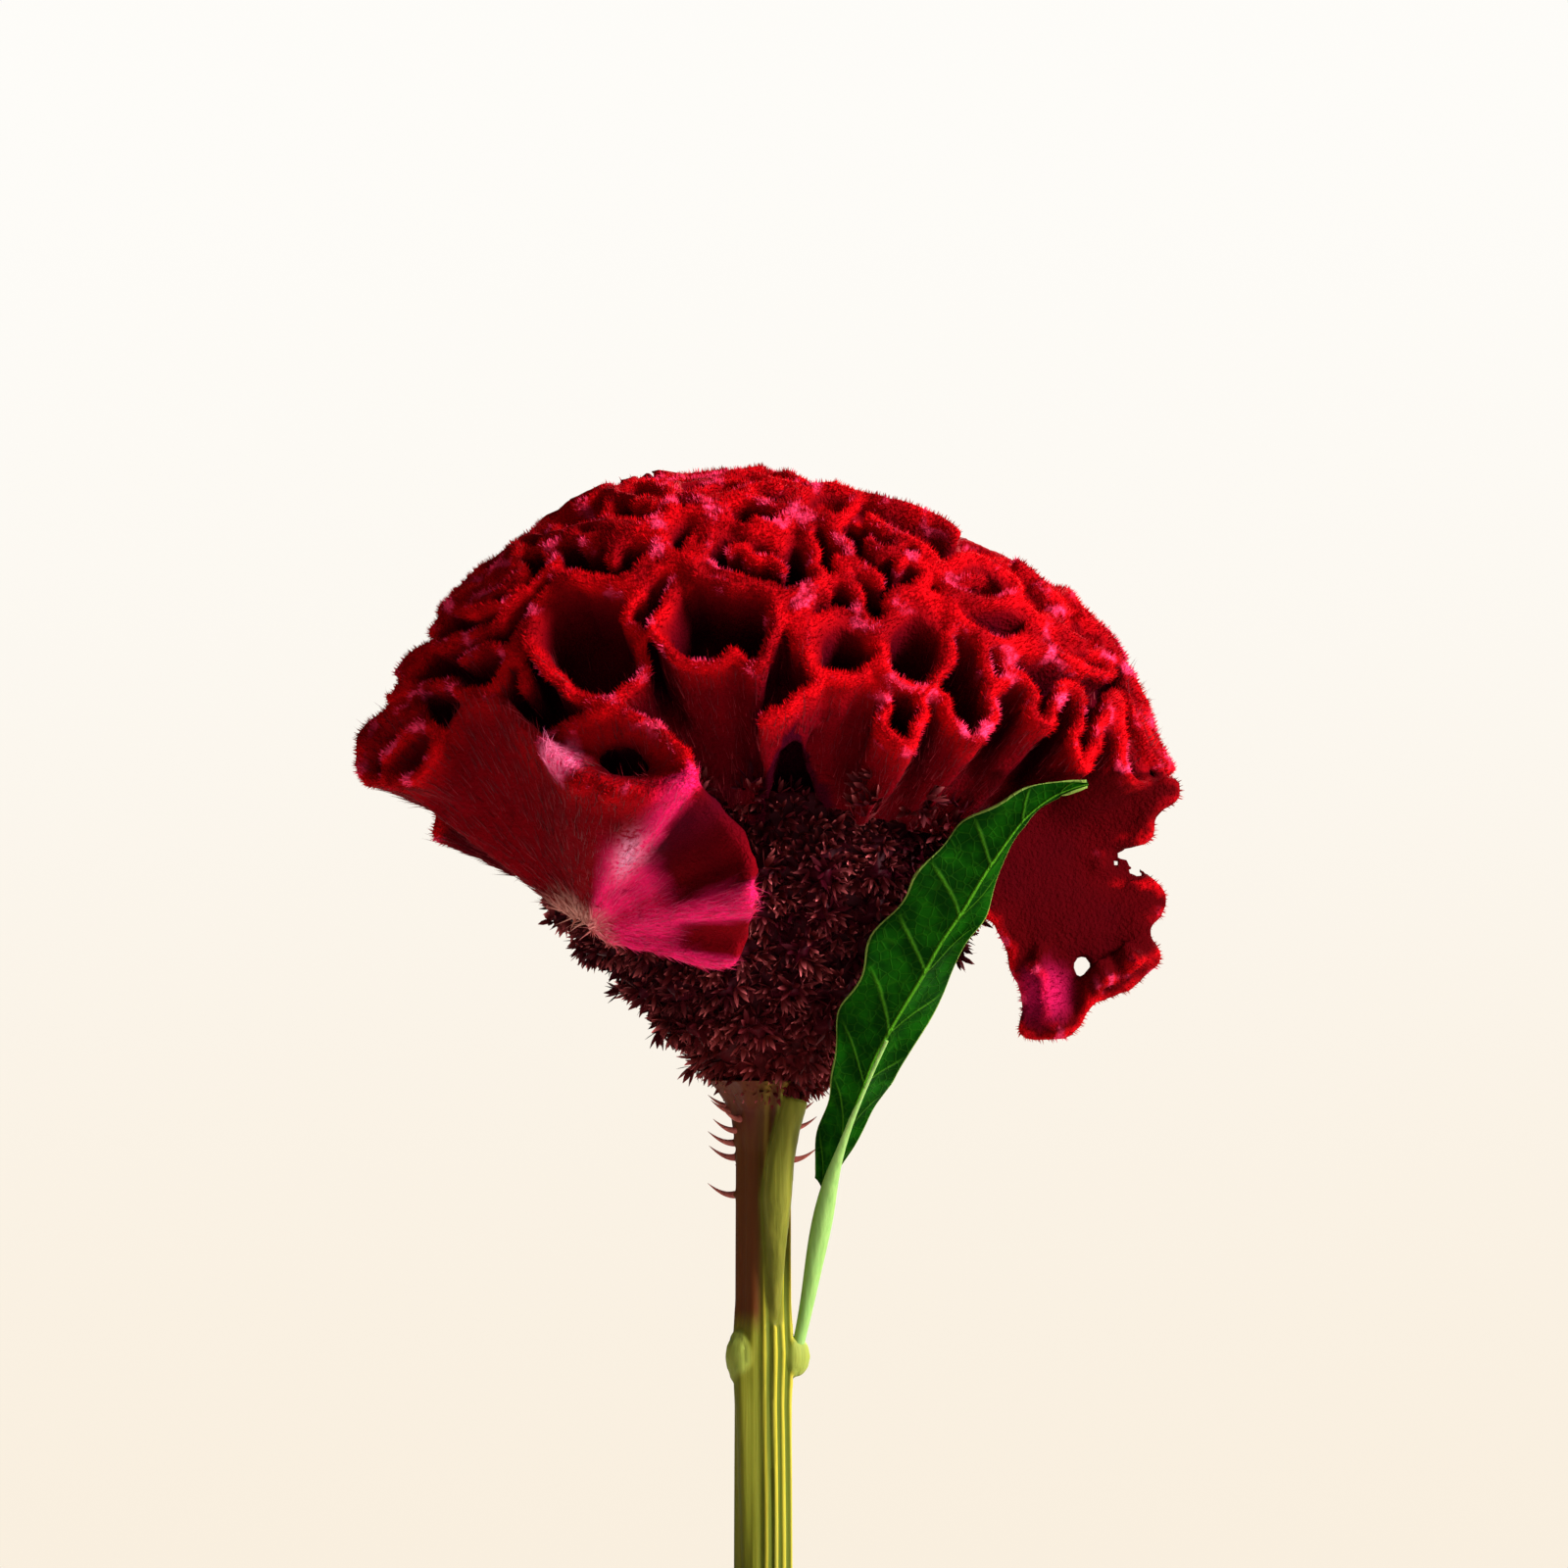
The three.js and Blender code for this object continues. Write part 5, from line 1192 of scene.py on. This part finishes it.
def velvet(name, pink_highlight_share):
    """Crimson velvet: black in the depths from painted shade, scarlet on the rims partly from a painted
    highlight, magenta near the fan's root.
    """
    finish = Finish(name)
    depth, edge = finish.attribute("open"), finish.attribute("edge")
    drift, fuzz = finish.noise(7 * MM, 4), finish.noise(0.7 * MM, 3)
    near = 1 - finish.span(finish.attribute("off_rim"), 1.2 * MM, 6 * MM)
    # Painted shade: the colour darkens as a point is closed in, and lightens near a rim.
    lit = depth * (0.55 + near * 0.5) + (drift - 0.5) * 0.3
    depths = finish.ramp(lit, [
        (0.06, PURPLE_BLACK), (0.24, WINE), (0.48, CRIMSON), (0.85, RUBY)])
    # Painted shade: the flap is dark red all over.
    cloth = finish.mix(finish.attribute("shaded") * 0.8, depths, FLAP_SHADED_RED)
    # The rims' rose and scarlet are partly their own red and partly a painted highlight, laid only on
    # open rims.
    flame = finish.mix(finish.span(drift + 0.2 * fuzz, 0.42, 0.75), ROSE, SCARLET)
    # Painted highlight: patches of pink on the rims.
    patches = finish.noise(5 * MM, 2) + 0.12 * fuzz
    rim = finish.mix(finish.span(patches, 0.64 - pink_highlight_share, 0.76 - pink_highlight_share), flame, PINK)
    rimmed = finish.mix(edge * finish.span(depth, 0.12, 0.45), cloth, rim)
    # The magenta flush is the fan's own colour near its root; along the ridge it also stands for a
    # painted sheen.
    flush = finish.attribute("flush") * finish.span(drift, 0.15, 0.45)
    flushed = finish.mix(flush, rimmed, MAGENTA)
    # Painted glints: lilac highlights beside the fan's ridge and on the lip's curl.
    with_glint = finish.mix(finish.attribute("spark") * finish.span(fuzz, 0.3, 0.6), flushed, LILAC_GLINT)
    bare = 1 - finish.span(finish.distance(FAN_ROOT) + (fuzz - 0.5) * 6 * MM, 2 * MM, 10 * MM)
    finish.surface({
        "Base Color": finish.mix(bare * 0.8, with_glint, BEIGE),
        "Roughness": 0.62 + 0.25 * fuzz, "Specular IOR Level": 0.012,
        "Sheen Weight": 0.025, "Sheen Roughness": 0.35, "Sheen Tint": (1.0, 0.03, 0.10)})
    return finish


plush = velvet("crest_velvet", 0.0)
plush.relief(plush.noise(0.55 * MM, 3) + 0.6 * plush.noise(1.6 * MM, 3), 0.55 * MM)
crest.data.materials.append(plush.material)


def spike(name, sides, width, finish):
    """One pointed hair, a unit long, standing on its foot."""
    work = bmesh.new()
    bmesh.ops.create_cone(work, cap_ends=False, segments=sides, radius1=width, radius2=0, depth=1)
    bmesh.ops.translate(work, verts=work.verts, vec=(0, 0, 0.45))
    hair = shaped(name, work)
    hair.data.materials.append(finish.material)
    return hair


# The nap takes the velvet's painted shade and highlights.
nap_finish = velvet("crest_nap", 0.05)
nap_hair = spike("nap_hair", 3, 0.14, nap_finish)
nap_front = strew("crest_nap_front", crest, nap_hair, 7.2e6, "nap_front", "nap_way", 21,
                  (0.3 * MM, 0.9 * MM), 0.25)
nap_back = strew("crest_nap_back", crest, nap_hair, 6.5e6, "nap_back", "nap_way", 22,
                 (0.35 * MM, 1.0 * MM), 0.25)

down_finish = Finish("crest_down")
down_shade = down_finish.attribute("shade")
down_near = 1 - down_finish.span(down_finish.distance(FAN_ROOT), 3 * MM, 11 * MM)
down_tint = down_finish.mix(down_shade, (0.08, 0.001, 0.005), (0.24, 0.012, 0.020))
# The down takes the fan's magenta flush, and painted lilac glints where the glint mark is.
down_flushed = down_finish.mix(
    down_finish.attribute("flush") * 0.8, down_tint,
    down_finish.mix(down_finish.attribute("spark"), (0.98, 0.05, 0.24), LILAC_GLINT))
down_finish.surface({
    "Base Color": down_finish.mix(down_near * 0.75, down_flushed, (0.86, 0.42, 0.36)),
    "Roughness": 0.5 + 0.2 * down_shade, "Specular IOR Level": 0.1})
down_hair = spike("down_hair", 3, 0.028, down_finish)
down = strew("crest_down", crest, down_hair, 2.6e6, "hair", "hair_way", 23,
             (1.4 * MM, 3.6 * MM), 0.18)
bract_hair = spike("bract_hair", 4, 0.055, down_finish)
bracts = strew("crest_bracts", crest, bract_hair, 1.4e6, "tuft", "hair_way", 24,
               (2.2 * MM, 4.6 * MM), 0.35)
for piece in (crest, nap_front, nap_back, down, bracts):
    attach(piece, "root")
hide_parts("crest")

# Florets: hundreds of small dry flowers that cover the cone under the crest, each a star of
# pointed maroon tepals with paler tips, whose pale colour is partly a painted glint. They are
# packed as closely as scales.
FLORET_SPACING = 1.7 * MM
TEPALS = 6
MAROON = (0.032, 0.0005, 0.005)
MAROON_WARM = (0.11, 0.007, 0.007)
TEPAL_TIP = (0.95, 0.20, 0.22)

cone = copy_of("florets", "floret_cone")
modify(cone, "REMESH", mode="VOXEL", voxel_size=1.0 * MM, use_smooth_shade=True)
modify(cone, "SMOOTH", factor=0.5, iterations=14)
settle(cone)
spots = points_of(cone.data)
spots[:, 2] += 3 * MM * smooth_step(spots[:, 2], 257 * MM, 266 * MM)
cone.data.vertices.foreach_set("co", spots.ravel())
outward = points_of(cone.data, "normal")
mark(cone.data, "packed", np.where(outward[:, 2] < 0.9, 1.0, 0.0))
mark(cone.data, "out", outward)

dry = Finish("florets")
tip, tone = dry.attribute("tip"), dry.attribute("shade")
warm = 1 - dry.span(dry.height(), 224 * MM, 240 * MM)
petal = dry.mix(tone * 0.6 + warm * 0.5, MAROON, MAROON_WARM)
# The tepals' pale tips are partly their own colour and partly painted glints on some florets.
dry.surface({"Base Color": dry.mix(tip ** 3.5 * tone ** 2 * 1.4, petal, TEPAL_TIP),
             "Roughness": 0.5 + 0.2 * tone, "Specular IOR Level": 0.05})
cone.data.materials.append(dry.material)

star_shape = bmesh.new()
for number in range(TEPALS):
    made = bmesh.ops.create_grid(star_shape, x_segments=2, y_segments=3, size=0.5)["verts"]
    splay = math.radians(18 + 26 * (number % 2))
    for vert in made:
        along = vert.co.y + 0.5
        breadth = 0.32 * math.sin(math.pi * (0.12 + 0.86 * along)) ** 0.8
        vert.co = (vert.co.x * breadth, 0.10 + along * math.sin(splay),
                   along * math.cos(splay) - 0.12 * (2 * vert.co.x) ** 2 * breadth)
    bmesh.ops.rotate(star_shape, verts=made, cent=(0, 0, 0),
                     matrix=Matrix.Rotation(2 * math.pi * number / TEPALS, 3, "Z"))
star = shaped("floret_star", star_shape)
mark(star.data, "tip", np.clip(points_of(star.data)[:, 2], 0, 1))
star.data.materials.append(dry.material)
florets = strew("floret_stars", cone, star, 2.5e6, "packed", "out", 41,
                (1.6 * MM, 3.0 * MM), 0.6, FLORET_SPACING)
rising = strew("floret_stars_rising", crest, star, 1.2e6, "packed", "out", 42,
               (1.6 * MM, 3.2 * MM), 0.4, FLORET_SPACING)
for piece in (cone, florets, rising):
    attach(piece, "root")
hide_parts("florets")

for helper in (crumb, nap_hair, down_hair, bract_hair, star):
    bpy.data.objects.remove(helper)
